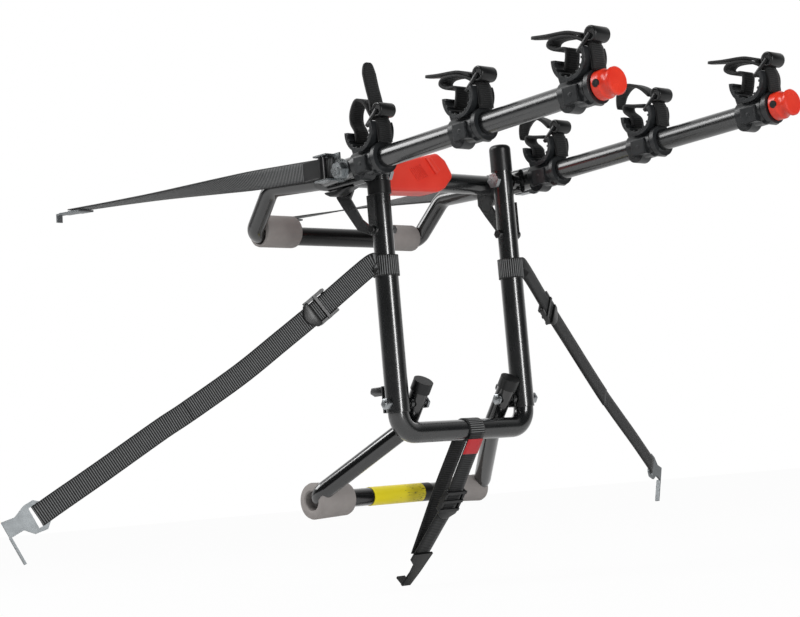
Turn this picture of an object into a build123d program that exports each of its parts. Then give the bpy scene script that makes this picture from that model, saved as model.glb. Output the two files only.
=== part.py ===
from build123d import *
import math
import os

# Trunk mounted bike rack for three bikes.
# X runs across the car, +Y points to the car, -Y is the side the bikes hang on, +Z is up.
# The origin is the middle of the main frame's bottom bar, on the bar's axis.

os.makedirs("parts", exist_ok=True)

# Main frame
leg_spread = 216.0
leg_height = 352.0
frame_tube_od = 25.4
frame_tube_wall = 1.6
frame_bend_radius = 24.0
sleeve_od = 28.6
sleeve_bottom = 25.0
sleeve_drop = 45.0
cap_wall = 0.9
cap_cover = 26.0
cap_top_thickness = 8.0
cap_edge_radius = 6.0
collar_drop = 26.5
collar_height = 16.0
collar_thickness = 1.5

# Pivots: hub below the legs' tops, yoke bolts below the hub, lower foot's bolts above the bar
hub_drop = 38.0
yoke_drop = 69.0
lower_pivot_height = 35.5

# Fits
slip_fit = 0.1
turn_fit = 0.2
side_gap = 0.3
overrun = 1.0

# Bolts
hub_bolt_d = 10.0
hub_bolt_flats = 17.0
hub_bolt_head = 5.0
hub_nut_height = 7.0
yoke_bolt_d = 6.0
yoke_bolt_flats = 10.0
yoke_bolt_head = 3.0
rivet_d = 4.0
rivet_head_d = 7.0
rivet_head = 1.5

# Hub stack outside each leg
spacer_length = 9.3
spacer_d = 20.0
foot_ear_thickness = 9.0
buckle_plate_thickness = 2.0

# Carry arms
arm_tube_od = 25.4
arm_tube_wall = 1.6
arm_above_hub = 3.0
arm_rise_degrees = 2.2
arm_length = 416.0
arm_tail = 45.0
cradle_count = 3
cradle_first = 37.0
cradle_last = 45.8
heel_cap_length = 3.0
heel_plug_length = 26.0

# Red end caps of the arms
end_cap_length = 25.5
end_cap_ring_share = 0.42
end_cap_waist_share = 0.64
end_cap_disc_share = 0.84
end_cap_edge_share = 0.06
end_cap_screw_share = 0.32
end_cap_ring_od = 32.4
end_cap_waist_od = 28.0
end_cap_disc_od = 30.6
end_cap_seat = 19.0
end_cap_screw_d = 7.0

# Cradles, in the arm's own directions: along the arm to its tip, and up
clamp_length = 46.0
clamp_back_share = 0.435
clamp_body_od = 31.6
clamp_ring_od = 38.0
clamp_ring_length = 6.0
clamp_groove_od = 30.8
clamp_groove_length = 4.0
clamp_lobe_width = 18.0
panel_width = 35.4
panel_length = 21.0
panel_height = 19.0
panel_drop = 4.0
panel_recess = 1.5
panel_border = 3.0
saddle_inner_d = 39.0
saddle_wall = 4.5
saddle_width = 35.0
saddle_rise = 34.5
saddle_shift = 3.0
saddle_start_degrees = 172.0
saddle_end_degrees = 379.0
saddle_tooth_count = 9
saddle_tooth_height = 1.6
saddle_tooth_width = 2.6
saddle_tooth_inset_degrees = 4.5

# Rubber straps of the cradles
cradle_strap_width = 20.0
cradle_strap_thickness = 3.0
strap_bend_radius = 3.6
strap_roll_od = 19.0
strap_roll_bore = 6.6
strap_roll_rise = 53.0
strap_frame_pitch = 21.0
strap_frame_rail = 3.0
strap_frame_height = 5.0
strap_frame_degrees = 38.0

# Release yoke
yoke_plate_thickness = 3.0
yoke_eye_d = 14.0
yoke_prong_share = 0.594
yoke_prong_width = 13.0
crossbar_od = 25.0
crossbar_wall = 1.5
crossbar_behind = 44.0
crossbar_above_hub = 2.5
handle_left = -72.0
handle_length = 121.0
handle_below = 16.0
handle_depth = 38.0
handle_edge_radius = 5.0
end_block_height = 11.0
end_block_depth = 35.0
end_block_start = 25.0
end_block_edge_radius = 3.0

# Upper foot
foot_tube_od = 22.2
foot_tube_wall = 1.5
foot_bend_radius = 24.0
foot_corner_radius = 14.0
upper_ear_height = 29.7
upper_ear_front = 8.0
upper_ear_end = 56.0
upper_round_offset = (2.6, 74.0, 0.9)
upper_bend_offset = (14.4, 152.0, 5.0)
upper_corner_offset = (7.9, 201.0, -45.0)
upper_foam_inset = 9.0
foam_length = 57.0
foam_edge_radius = 3.0
upper_foam_left_od = 41.0
upper_foam_left_lift = 5.0
upper_foam_right_od = 34.8
upper_foam_right_lift = 2.6
band_thickness = 0.6

# Lower foot
lower_arm_inset = 33.0
lower_arm_top = (13.0, 60.0)
lower_arm_bend = (24.0, 7.5)
lower_corner_offset = (73.0, 127.7, -71.0)
lower_bend_radius = 20.0
lower_cap_length = 14.0
lower_cap_wall = 1.1
lower_foam_inset = 2.0
lower_foam_left_od = 43.0
lower_foam_right_od = 32.0
lower_band_half_length = 51.0

# Pivot brackets of the lower foot
bracket_plate_thickness = 3.0
bracket_plate_inset = 17.0
bracket_reach = 68.0
bracket_flange_thickness = 3.0
bracket_flange_top = 58.0
bracket_edge_radius = 2.0

# Webbing
webbing_width = 25.0
webbing_thickness = 1.6
doubled_gap = 0.3
side_strap_rise_length = 11.0

# Side straps, right side, from the leg's axis at the sleeve's top; the left one mirrors it
side_wrap_rise = 0.5
side_buckle_offset = (87.0, 23.6, -46.0)
side_step_offset = (274.0, 95.0, -189.0)
side_end_offset = (413.0, 144.5, -260.5)
ladder_lock_length = 30.0
ladder_lock_width = 33.0
ladder_lock_thickness = 6.0
ladder_bar = 4.0
side_hook_length = 41.0
side_hook_thickness = 2.5
side_hook_slot = 5.0
side_hook_lip = 33.0
side_hook_lip_width = 6.0
side_hook_lip_share = 0.14

# Upper straps, right side, from the hub and the buckle's plate; the left one mirrors it
upper_strap_gap = 0.6
upper_strap_start_offset = (12.0, 5.2)
upper_strap_end_offset = (18.5, 526.0, 38.6)
upper_strap_places_shares = (0.0, 0.20, 0.38, 0.60, 1.0)
upper_strap_turns = (0.0, 10.0, 45.0, 72.0, 90.0)
upper_hook_length = 38.0
upper_hook_width = 18.0
upper_hook_thickness = 2.5
upper_hook_lip = 12.0

# Cam buckles of the upper straps
cam_frame_length = 34.0
cam_frame_height = 32.0
cam_frame_raise = 6.0
cam_eye_d = 28.0
cam_flange_start = 11.0
cam_place = 23.0
cam_clearance = 1.2
cam_roller_d = 9.0
cam_pin_d = 4.0
cam_lever_length = 30.0
cam_lever_thickness = 3.0
cam_lever_height = 22.0

# Bottom strap
bottom_strap_x = 8.8
bottom_buckle_point = (42.6, -84.0)
bottom_hook_point = (107.0, -150.0)
bottom_back_point = (58.0, -66.0)
front_run_degrees = (200.0, 232.0)
back_run_degrees = 345.0
bottom_hook_length = 48.0
bottom_hook_thickness = 3.0
bottom_hook_lip = 12.0
bottom_hook_lip_share = 0.28
tag_drop = 1.0
tag_length = 21.0
tag_thickness = 0.8

# Radii and places that follow from the sizes above
hub_height = leg_height - hub_drop
yoke_pivot_height = hub_height - yoke_drop
sleeve_top = yoke_pivot_height - sleeve_drop
crossbar_above_pivot = yoke_drop + crossbar_above_hub
cradle_pitch = (arm_length - cradle_first - cradle_last) / (cradle_count - 1)
leg_x = leg_spread / 2
frame_tube_r = frame_tube_od / 2
sleeve_r = sleeve_od / 2
arm_r = arm_tube_od / 2
foot_tube_r = foot_tube_od / 2
hub_bolt_r = hub_bolt_d / 2
leg_outer = leg_x + frame_tube_r
leg_inner = leg_x - frame_tube_r
foot_ear_inner = leg_outer + side_gap + spacer_length + side_gap
foot_ear_x = foot_ear_inner + foot_ear_thickness / 2
arm_x = foot_ear_inner + foot_ear_thickness + side_gap + arm_r
arm_outer = arm_x + arm_r
buckle_plate_inner = arm_outer + side_gap
buckle_plate_outer = buckle_plate_inner + buckle_plate_thickness
yoke_plate_inner = leg_outer + side_gap
lower_arm_x = leg_x - lower_arm_inset
bracket_plate_outer = leg_x - bracket_plate_inset
saddle_r = saddle_inner_d / 2
strap_half = cradle_strap_thickness / 2
sides = (("left", -1), ("right", 1))


# Small builders that several sub-parts share
def x_disc(start, end, y, z, radius, mode=Mode.ADD):
    """A round bar or bore along X, from x = start to x = end."""
    with BuildSketch(Plane.YZ.offset(start)) as profile:
        with Locations((y, z)):
            Circle(radius)
    extrude(profile.sketch, amount=end - start, dir=(1, 0, 0), mode=mode)


def x_hexagon(start, end, y, z, across_flats):
    """A hexagonal head or nut along X."""
    with BuildSketch(Plane.YZ.offset(start)) as profile:
        with Locations((y, z)):
            RegularPolygon(across_flats / 2, 6, major_radius=False)
    extrude(profile.sketch, amount=end - start, dir=(1, 0, 0))


def ribbon(points, turns, width, thickness):
    """Flat webbing lofted through its points; a turn of 0 stands it on edge."""
    last = len(points) - 1
    sections = []
    for index, point in enumerate(points):
        ahead = Vector(*points[min(index + 1, last)]) - Vector(*points[max(index - 1, 0)])
        across = Vector(0, 0, 1) - ahead.normalized() * ahead.normalized().Z
        with BuildSketch(Plane(origin=point, x_dir=across, z_dir=ahead)) as section:
            Rectangle(width, thickness, rotation=turns[index])
        sections.append(section.sketch.face())
    loft(sections, ruled=True)


def polar_point(distance, degrees):
    """A sketch point at a distance and angle."""
    return (distance * math.cos(math.radians(degrees)), distance * math.sin(math.radians(degrees)))


def scaled(shares, size):
    """Outline points from shares of one size."""
    return [(a * size, b * size) for a, b in shares]


def mirror_point(point, sign):
    """A right side point, mirrored when sign is -1."""
    return (sign * point[0], point[1], point[2])


def from_place(offset, x, z):
    """A right side point given by its offset from a place in the plane y = 0."""
    return (x + offset[0], offset[1], z + offset[2])


def finish(part, label):
    """Names a finished sub-part and writes it."""
    part.label = label
    export_step(part, f"parts/{label}.step")


# Main frame: one tube bent into a U, drilled for the bolts
with BuildPart() as main_frame:
    with BuildLine() as frame_route:
        FilletPolyline(
            (-leg_x, 0, leg_height),
            (-leg_x, 0, 0),
            (leg_x, 0, 0),
            (leg_x, 0, leg_height),
            radius=frame_bend_radius,
        )
    with BuildSketch(Plane.XY.offset(leg_height)):
        with Locations((-leg_x, 0)):
            Circle(frame_tube_r)
            Circle(frame_tube_r - frame_tube_wall, mode=Mode.SUBTRACT)
    sweep()
    for height, bolt_d in (
        (hub_height, hub_bolt_d),
        (yoke_pivot_height, yoke_bolt_d),
        (lower_pivot_height, hub_bolt_d),
    ):
        x_disc(-leg_spread, leg_spread, 0, height, bolt_d / 2 + turn_fit, Mode.SUBTRACT)
finish(main_frame.part, "main_frame")

# Leg sleeves: outer tubes, relieved below where the frame's bend begins
for side, sign in sides:
    with BuildPart() as leg_sleeve:
        with BuildSketch(Plane.XY.offset(sleeve_bottom)):
            with Locations((sign * leg_x, 0)):
                Circle(sleeve_r)
        extrude(amount=sleeve_top - sleeve_bottom)
        with BuildLine():
            FilletPolyline(
                (sign * leg_x, 0, leg_height),
                (sign * leg_x, 0, 0),
                (0, 0, 0),
                radius=frame_bend_radius,
            )
        with BuildSketch(Plane.XY.offset(leg_height)):
            with Locations((sign * leg_x, 0)):
                Circle(frame_tube_r + slip_fit)
        sweep(mode=Mode.SUBTRACT)
        x_disc(-leg_spread, leg_spread, 0, lower_pivot_height, hub_bolt_r + turn_fit, Mode.SUBTRACT)
    finish(leg_sleeve.part, f"leg_sleeve_{side}")

# Caps over the tops of the legs
with BuildPart() as post_caps:
    for side, sign in sides:
        with BuildSketch(Plane.XY.offset(leg_height - cap_cover)):
            with Locations((sign * leg_x, 0)):
                Circle(frame_tube_r + slip_fit + cap_wall)
        extrude(amount=cap_cover + cap_top_thickness)
    fillet(post_caps.edges().group_by(Axis.Z)[-1], radius=cap_edge_radius)
    for side, sign in sides:
        with BuildSketch(Plane.XY.offset(leg_height - cap_cover)):
            with Locations((sign * leg_x, 0)):
                Circle(frame_tube_r + slip_fit)
        extrude(amount=cap_cover + slip_fit, mode=Mode.SUBTRACT)
finish(post_caps.part, "post_caps")

# Collar ring on the left leg
with BuildPart() as post_collar:
    with BuildSketch(Plane.XY.offset(hub_height - collar_drop)):
        with Locations((-leg_x, 0)):
            Circle(frame_tube_r + slip_fit + collar_thickness)
            Circle(frame_tube_r + slip_fit, mode=Mode.SUBTRACT)
    extrude(amount=collar_height)
finish(post_collar.part, "post_collar")

# Pivot brackets of the lower foot: a plate beside the leg with two flanges that hug the sleeve
# and a stop tab that reaches to the rear. Outline from the pivot, as shares of the tab's reach.
bracket_outline_shares = (
    (-0.25, -0.17),
    (-0.30, 0.12),
    (-0.16, 0.39),
    (0.12, 0.39),
    (0.29, 0.335),
    (0.98, 0.353),
    (1.0, 0.275),
    (0.84, 0.17),
    (0.60, 0.147),
    (0.35, 0.05),
    (0.25, -0.17),
)
for side, sign in sides:
    with BuildPart() as foot_bracket:
        with BuildSketch(Plane.YZ.offset(sign * bracket_plate_outer)):
            with Locations((0, lower_pivot_height)):
                Polygon(*scaled(bracket_outline_shares, bracket_reach), align=None)
            fillet(vertices(), radius=bracket_edge_radius)
        extrude(amount=-sign * bracket_plate_thickness)
        flange_y = sleeve_r + slip_fit + bracket_flange_thickness / 2
        with BuildSketch(Plane.YZ.offset(sign * bracket_plate_outer)):
            with Locations((flange_y, sleeve_bottom), (-flange_y, sleeve_bottom)):
                Rectangle(
                    bracket_flange_thickness,
                    bracket_flange_top - sleeve_bottom,
                    align=(Align.CENTER, Align.MIN),
                )
        extrude(amount=sign * (leg_x - bracket_plate_outer))
        x_disc(0, sign * leg_spread, 0, lower_pivot_height, hub_bolt_r + turn_fit, Mode.SUBTRACT)
    finish(foot_bracket.part, f"foot_bracket_{side}")

# Bolts of the lower foot: head inside the foot's arm, nut outside the leg
with BuildPart() as lower_pivot_bolts:
    for side, sign in sides:
        head_seat = sign * (lower_arm_x - foot_tube_r - slip_fit)
        nut_seat = sign * (leg_x + sleeve_r + slip_fit)
        shank_end = nut_seat + sign * (hub_nut_height + overrun)
        x_hexagon(head_seat - sign * hub_bolt_head, head_seat, 0, lower_pivot_height, hub_bolt_flats)
        x_disc(head_seat, shank_end, 0, lower_pivot_height, hub_bolt_r)
        x_hexagon(nut_seat, nut_seat + sign * hub_nut_height, 0, lower_pivot_height, hub_bolt_flats)
finish(lower_pivot_bolts.part, "lower_pivot_bolts")

# Hub bolts: head inside the leg, shank through spacer, foot ear, arm and buckle plate, nut outside
with BuildPart() as hub_bolts:
    for side, sign in sides:
        head_seat = sign * (leg_inner - slip_fit)
        nut_seat = sign * (buckle_plate_outer + slip_fit)
        shank_end = nut_seat + sign * (hub_nut_height + overrun)
        x_hexagon(head_seat - sign * hub_bolt_head, head_seat, 0, hub_height, hub_bolt_flats)
        x_disc(head_seat, shank_end, 0, hub_height, hub_bolt_r)
        x_hexagon(nut_seat, nut_seat + sign * hub_nut_height, 0, hub_height, hub_bolt_flats)
finish(hub_bolts.part, "hub_bolts")

# Spacer bushings between the legs and the upper foot's ears
with BuildPart() as hub_spacers:
    for side, sign in sides:
        start = sign * (leg_outer + side_gap)
        end = start + sign * spacer_length
        x_disc(start, end, 0, hub_height, spacer_d / 2)
        x_disc(start, end, 0, hub_height, hub_bolt_r + slip_fit, Mode.SUBTRACT)
finish(hub_spacers.part, "hub_spacers")

# Yoke bolts: nut inside the leg, round head outside the yoke plate
yoke_plate_outer = yoke_plate_inner + yoke_plate_thickness
with BuildPart() as yoke_bolts:
    for side, sign in sides:
        nut_seat = sign * (leg_inner - slip_fit)
        head_seat = sign * (yoke_plate_outer + side_gap)
        x_hexagon(nut_seat - sign * yoke_bolt_d, nut_seat, 0, yoke_pivot_height, yoke_bolt_flats)
        x_disc(nut_seat, head_seat, 0, yoke_pivot_height, yoke_bolt_d / 2)
        x_disc(head_seat, head_seat + sign * yoke_bolt_head, 0, yoke_pivot_height, yoke_bolt_flats / 2)
finish(yoke_bolts.part, "yoke_bolts")

# Carry arms. Each arm has its own directions: along it to the tip, up square to it, and X.
arm_rise = math.radians(arm_rise_degrees)
arm_along = Vector(0, -math.cos(arm_rise), math.sin(arm_rise))
arm_up = Vector(0, math.sin(arm_rise), math.cos(arm_rise))


def arm_point(sign, along, up=0.0):
    """A point of the arm's middle plane, from the hub along the arm and up from its axis."""
    start = Vector(sign * arm_x, 0, hub_height + arm_above_hub)
    return start + arm_along * along + arm_up * up


def arm_section(sign, along):
    """The plane square to the arm, with X across and its local Y up."""
    return Plane(origin=arm_point(sign, along), x_dir=(1, 0, 0), z_dir=arm_along)


def arm_side(sign, along, shift=0.0):
    """The arm's middle plane, local X to the tip and local Y up, moved along X by shift."""
    origin = arm_point(sign, along) + Vector(shift, 0, 0)
    return Plane(origin=origin, x_dir=arm_along, z_dir=(-1, 0, 0))


for side, sign in sides:
    with BuildPart() as arm_tube:
        with BuildSketch(arm_section(sign, -arm_tail)):
            Circle(arm_r)
            Circle(arm_r - arm_tube_wall, mode=Mode.SUBTRACT)
        extrude(amount=arm_tail + arm_length)
        x_disc(0, sign * leg_spread, 0, hub_height, hub_bolt_r + turn_fit, Mode.SUBTRACT)
    finish(arm_tube.part, f"arm_tube_{side}")

# End caps: a ring with a screw hole through it, a waist and a flat disc at the tip
end_cap_start = arm_length - end_cap_seat
for side, sign in sides:
    with BuildPart() as arm_end_cap:
        with BuildSketch(arm_side(sign, end_cap_start)):
            with BuildLine():
                ring_end = end_cap_length * end_cap_ring_share
                waist = end_cap_length * end_cap_waist_share
                disc_start = end_cap_length * end_cap_disc_share
                edge = end_cap_length * end_cap_edge_share
                Polyline(
                    (end_cap_length, 0),
                    (0, 0),
                    (0, end_cap_ring_od / 2 - edge),
                    (edge, end_cap_ring_od / 2),
                    (ring_end, end_cap_ring_od / 2),
                )
                ThreePointArc(
                    (ring_end, end_cap_ring_od / 2),
                    (waist, end_cap_waist_od / 2),
                    (disc_start, end_cap_disc_od / 2),
                )
                Polyline(
                    (disc_start, end_cap_disc_od / 2),
                    (end_cap_length - edge, end_cap_disc_od / 2),
                    (end_cap_length, end_cap_disc_od / 2 - edge),
                    (end_cap_length, 0),
                )
            make_face()
        revolve(axis=Axis(arm_point(sign, end_cap_start), arm_along))
        with BuildSketch(arm_section(sign, end_cap_start)):
            Circle(arm_r + slip_fit)
        extrude(amount=end_cap_seat + slip_fit, mode=Mode.SUBTRACT)
        screw_along = end_cap_length * end_cap_screw_share
        with BuildSketch(arm_side(sign, end_cap_start, end_cap_ring_od)):
            with Locations((screw_along, 0)):
                Circle(end_cap_screw_d / 2)
        extrude(amount=end_cap_ring_od * 2, mode=Mode.SUBTRACT)
    finish(arm_end_cap.part, f"arm_end_cap_{side}")

# Heels: a plug with a flange in the rear end of each arm
for side, sign in sides:
    with BuildPart() as arm_heel:
        with BuildSketch(arm_section(sign, -arm_tail)):
            Circle(arm_r - arm_tube_wall - slip_fit)
        extrude(amount=heel_plug_length)
        with BuildSketch(arm_section(sign, -arm_tail)):
            Circle(arm_r)
        extrude(amount=-heel_cap_length)
        x_disc(0, sign * leg_spread, 0, hub_height, hub_bolt_r + turn_fit, Mode.SUBTRACT)
    finish(arm_heel.part, f"arm_heel_{side}")

# Cradles: a clamp around the arm with two lobes below, a recessed panel on both sides, and a
# toothed saddle on top for the bike's frame tube. Their outlines are in the arm's side plane.
clamp_start = -clamp_length * clamp_back_share
clamp_end = clamp_start + clamp_length
ring_start = clamp_end - clamp_ring_length
groove_start = ring_start - clamp_groove_length
bore_r = arm_r + slip_fit
lobe_places_shares = ((-0.26, -0.175, 0.26), (0.41, -0.24, 0.165))
neck_shares = ((-0.36, 0.0), (-0.50, 0.62), (-0.30, 0.62), (0.46, 0.30), (0.50, 0.0))


def cradle_along(number):
    """Where a cradle sits along its arm."""
    return cradle_first + cradle_pitch * (number - 1)


for side, sign in sides:
    for number in range(1, cradle_count + 1):
        along = cradle_along(number)
        side_plane = arm_side(sign, along)
        saddle_centre = (saddle_shift, saddle_rise)
        with BuildPart() as cradle:
            with BuildSketch(side_plane):
                with BuildLine():
                    Polyline(
                        (clamp_start, 0),
                        (clamp_start, clamp_body_od / 2),
                        (groove_start, clamp_body_od / 2),
                        (groove_start, clamp_groove_od / 2),
                        (ring_start, clamp_groove_od / 2),
                        (ring_start, clamp_ring_od / 2),
                        (clamp_end, clamp_ring_od / 2),
                        (clamp_end, 0),
                        close=True,
                    )
                make_face()
            revolve(axis=Axis(arm_point(sign, along), arm_along))
            with BuildSketch(side_plane):
                for place, drop, radius in lobe_places_shares:
                    with Locations((place * clamp_length, drop * clamp_length)):
                        Circle(radius * clamp_length)
            extrude(amount=clamp_lobe_width / 2, both=True)
            with BuildSketch(side_plane):
                Polygon(*scaled(neck_shares, clamp_length), align=None)
            extrude(amount=clamp_lobe_width / 2, both=True)
            with BuildSketch(side_plane):
                with Locations((0, -panel_drop)):
                    Rectangle(panel_length, panel_height)
            extrude(amount=panel_width / 2, both=True)
            with BuildSketch(side_plane):
                with Locations(saddle_centre):
                    Circle(saddle_r + saddle_wall)
            extrude(amount=saddle_width / 2, both=True)
            with BuildSketch(side_plane):
                with Locations(saddle_centre):
                    Circle(saddle_r)
                    Polygon(
                        (0, 0),
                        polar_point(saddle_inner_d, saddle_end_degrees),
                        polar_point(saddle_inner_d * 2, 90),
                        polar_point(saddle_inner_d, saddle_start_degrees),
                        align=None,
                    )
            extrude(amount=saddle_width, both=True, mode=Mode.SUBTRACT)
            with BuildSketch(arm_section(sign, along)):
                Circle(bore_r)
            extrude(amount=clamp_length, both=True, mode=Mode.SUBTRACT)
            for face_sign in (-1, 1):
                with BuildSketch(arm_side(sign, along, face_sign * panel_width / 2)):
                    with Locations((0, -panel_drop)):
                        Rectangle(panel_length - 2 * panel_border, panel_height - 2 * panel_border)
                extrude(amount=face_sign * panel_recess, mode=Mode.SUBTRACT)
            with BuildSketch(side_plane):
                with Locations(saddle_centre):
                    with PolarLocations(
                        saddle_r,
                        saddle_tooth_count,
                        start_angle=saddle_start_degrees + saddle_tooth_inset_degrees,
                        angular_range=saddle_end_degrees
                        - saddle_start_degrees
                        - 2 * saddle_tooth_inset_degrees,
                        endpoint=True,
                    ):
                        Rectangle(saddle_tooth_height * 2, saddle_tooth_width)
            extrude(amount=saddle_width / 2, both=True)
        finish(cradle.part, f"cradle_{side}_{number}")


# Rubber straps. The outer band stands beside the saddle and rolls around the far bar of a small
# frame; the inner band rises from the saddle, passes through the frame and ends in a free tail.
# Routes in the arm's side plane, as shares of the saddle's inner diameter.
inner_band_shares = {
    "folded": (
        (-0.25, 0.655),
        (-0.13, 1.05),
        (-0.115, 1.245),
        (-0.615, 1.295),
        (-0.755, 1.475),
        (-0.565, 1.655),
        (0.0, 1.54),
        (0.46, 1.32),
        (0.575, 1.155),
    ),
    "upright": (
        (-0.25, 0.655),
        (-0.27, 0.97),
        (-0.41, 1.28),
        (-0.36, 1.61),
        (-0.10, 1.935),
        (0.23, 1.745),
        (0.45, 1.345),
        (0.575, 1.155),
    ),
    "arched": (
        (-0.25, 0.655),
        (-0.28, 0.92),
        (-0.54, 1.165),
        (-0.51, 1.37),
        (-0.13, 1.27),
        (0.32, 1.175),
    ),
}
tail_shares = {
    "folded": ((0.49, 1.435), (0.0, 1.655), (-0.795, 1.765), (-1.46, 1.895)),
    "upright": ((0.52, 1.445), (0.51, 1.74), (0.42, 2.205), (0.36, 2.665), (0.36, 2.97)),
    "arched": ((0.52, 1.445), (0.18, 1.77), (-0.31, 1.975), (-0.69, 1.795), (-0.87, 1.335)),
}
strap_forms = {
    "left": ("upright", "folded", "folded"),
    "right": ("arched", "arched", "folded"),
}
outer_band_x = saddle_shift + saddle_r + saddle_wall + side_gap * 2 + strap_half
outer_band_start = end_cap_ring_od / 2 + side_gap
roll_centre = (outer_band_x + strap_half, strap_roll_rise)
near_bar = polar_point(strap_frame_pitch, strap_frame_degrees)
rail_start = cradle_strap_width / 2 + side_gap
for side, sign in sides:
    for number in range(1, cradle_count + 1):
        side_plane = arm_side(sign, cradle_along(number))
        form = strap_forms[side][number - 1]
        with BuildPart() as cradle_strap:
            with BuildSketch(side_plane):
                with Locations((outer_band_x, outer_band_start)):
                    Rectangle(
                        cradle_strap_thickness,
                        strap_roll_rise - strap_roll_od / 2 + strap_half - outer_band_start,
                        align=(Align.CENTER, Align.MIN),
                    )
                with Locations(roll_centre):
                    Circle(strap_roll_od / 2)
                    Circle(strap_roll_bore / 2, mode=Mode.SUBTRACT)
            extrude(amount=cradle_strap_width / 2, both=True)
            for shares in (inner_band_shares[form], tail_shares[form]):
                with BuildLine(side_plane) as route:
                    FilletPolyline(*scaled(shares, saddle_inner_d), radius=strap_bend_radius)
                with BuildSketch(
                    Plane(origin=route.line @ 0, x_dir=(1, 0, 0), z_dir=route.line % 0)
                ):
                    Rectangle(cradle_strap_width, cradle_strap_thickness)
                sweep(path=route.line)
            for face_sign in (-1, 1):
                with BuildSketch(arm_side(sign, cradle_along(number), face_sign * rail_start)):
                    with Locations(
                        (roll_centre[0] - near_bar[0] / 2, roll_centre[1] - near_bar[1] / 2)
                    ):
                        SlotCenterToCenter(
                            strap_frame_pitch, strap_frame_height, rotation=strap_frame_degrees
                        )
                extrude(amount=-face_sign * strap_frame_rail)
            with BuildSketch(side_plane):
                with Locations(roll_centre):
                    Circle(strap_roll_bore / 2 - side_gap)
                with Locations((roll_centre[0] - near_bar[0], roll_centre[1] - near_bar[1])):
                    Circle(strap_frame_height / 2)
            extrude(amount=rail_start, both=True)
        finish(cradle_strap.part, f"cradle_strap_{side}_{number}")

# Release yoke: two V plates on the yoke bolts. Rear prong from the pivot, as shares of the
# crossbar's height above it.
rear_prong_shares = (
    (-0.06, -0.075),
    (0.09, 0.07),
    (0.26, 0.205),
    (0.51, 0.595),
    (0.42, 0.72),
    (0.42, 1.04),
    (0.52, 1.17),
    (0.72, 1.17),
    (0.84, 1.02),
    (0.84, 0.66),
    (0.70, 0.46),
    (0.37, 0.03),
    (0.07, -0.09),
)
crossbar_z = hub_height + crossbar_above_hub
yoke_prong_height = yoke_drop * yoke_prong_share
with BuildPart() as yoke_plates:
    for side, sign in sides:
        with BuildSketch(Plane.YZ.offset(sign * yoke_plate_inner)) as plate:
            with Locations((0, yoke_pivot_height)):
                Circle(yoke_eye_d / 2)
                Polygon(*scaled(rear_prong_shares, crossbar_above_pivot), align=None)
                with Locations((0, yoke_prong_height / 2)):
                    Rectangle(yoke_prong_width, yoke_prong_height)
        extrude(amount=sign * yoke_plate_thickness)
    x_disc(-leg_spread, leg_spread, 0, yoke_pivot_height, yoke_bolt_d / 2 + turn_fit, Mode.SUBTRACT)
    for rivet_z in (crossbar_z - rivet_d, crossbar_z + rivet_d):
        x_disc(-leg_spread, leg_spread, crossbar_behind, rivet_z, rivet_d / 2 + slip_fit, Mode.SUBTRACT)
finish(yoke_plates.part, "yoke_plates")

# Crossbar between the plates
with BuildPart() as yoke_crossbar:
    with BuildSketch(Plane.YZ.offset(-yoke_plate_inner + slip_fit)):
        with Locations((crossbar_behind, crossbar_z)):
            Circle(crossbar_od / 2)
            Circle(crossbar_od / 2 - crossbar_wall, mode=Mode.SUBTRACT)
    extrude(amount=2 * (yoke_plate_inner - slip_fit))
finish(yoke_crossbar.part, "yoke_crossbar")

# Rivets through the plates into the crossbar's ends
with BuildPart() as yoke_rivets:
    for side, sign in sides:
        for rivet_z in (crossbar_z - rivet_d, crossbar_z + rivet_d):
            head_seat = sign * (yoke_plate_outer + slip_fit)
            x_disc(head_seat, head_seat + sign * rivet_head, crossbar_behind, rivet_z, rivet_head_d / 2)
            x_disc(head_seat, sign * leg_x, crossbar_behind, rivet_z, rivet_d / 2)
finish(yoke_rivets.part, "yoke_rivets")

# Release handle: a moulded grip on the crossbar with a raised fin for the fingers. Outline from
# the front, as shares of its length, from the lower left corner.
handle_shares = (
    (0.0, 0.0),
    (0.02, 0.12),
    (0.0, 0.24),
    (0.28, 0.27),
    (0.50, 0.385),
    (0.64, 0.405),
    (0.80, 0.36),
    (1.0, 0.22),
    (0.985, 0.15),
    (0.90, 0.0),
)
with BuildPart() as release_handle:
    handle_front = crossbar_behind - handle_depth / 2
    with BuildSketch(Plane.XZ.offset(-handle_front)):
        with Locations((handle_left, crossbar_z - handle_below)):
            Polygon(*scaled(handle_shares, handle_length), align=None)
    extrude(amount=-handle_depth)
    chamfer(release_handle.faces().sort_by(Axis.Y)[0].edges(), length=handle_edge_radius)
    chamfer(release_handle.faces().sort_by(Axis.Y)[-1].edges(), length=handle_edge_radius)
    x_disc(-leg_spread, leg_spread, crossbar_behind, crossbar_z, crossbar_od / 2 + slip_fit, Mode.SUBTRACT)
finish(release_handle.part, "release_handle")

# End blocks of the yoke, under the upper foot's ears
end_block_top = hub_height - upper_ear_height / 2 - side_gap
end_block_inner = yoke_plate_outer + slip_fit
end_block_width = foot_ear_inner + foot_ear_thickness - end_block_inner
with BuildPart() as yoke_end_blocks:
    for side, sign in sides:
        with BuildSketch(Plane.YZ.offset(sign * end_block_inner)):
            with Locations((end_block_start, end_block_top - end_block_height)):
                RectangleRounded(
                    end_block_depth,
                    end_block_height,
                    end_block_edge_radius,
                    align=(Align.MIN, Align.MIN),
                )
        extrude(amount=sign * end_block_width)
finish(yoke_end_blocks.part, "yoke_end_blocks")


# Feet: bent tubes with foam rollers
def mirrored_route(points):
    """The points of one side, then the same points mirrored to the other."""
    return [(-x, y, z) for x, y, z in points] + [(x, y, z) for x, y, z in reversed(points)]


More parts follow.
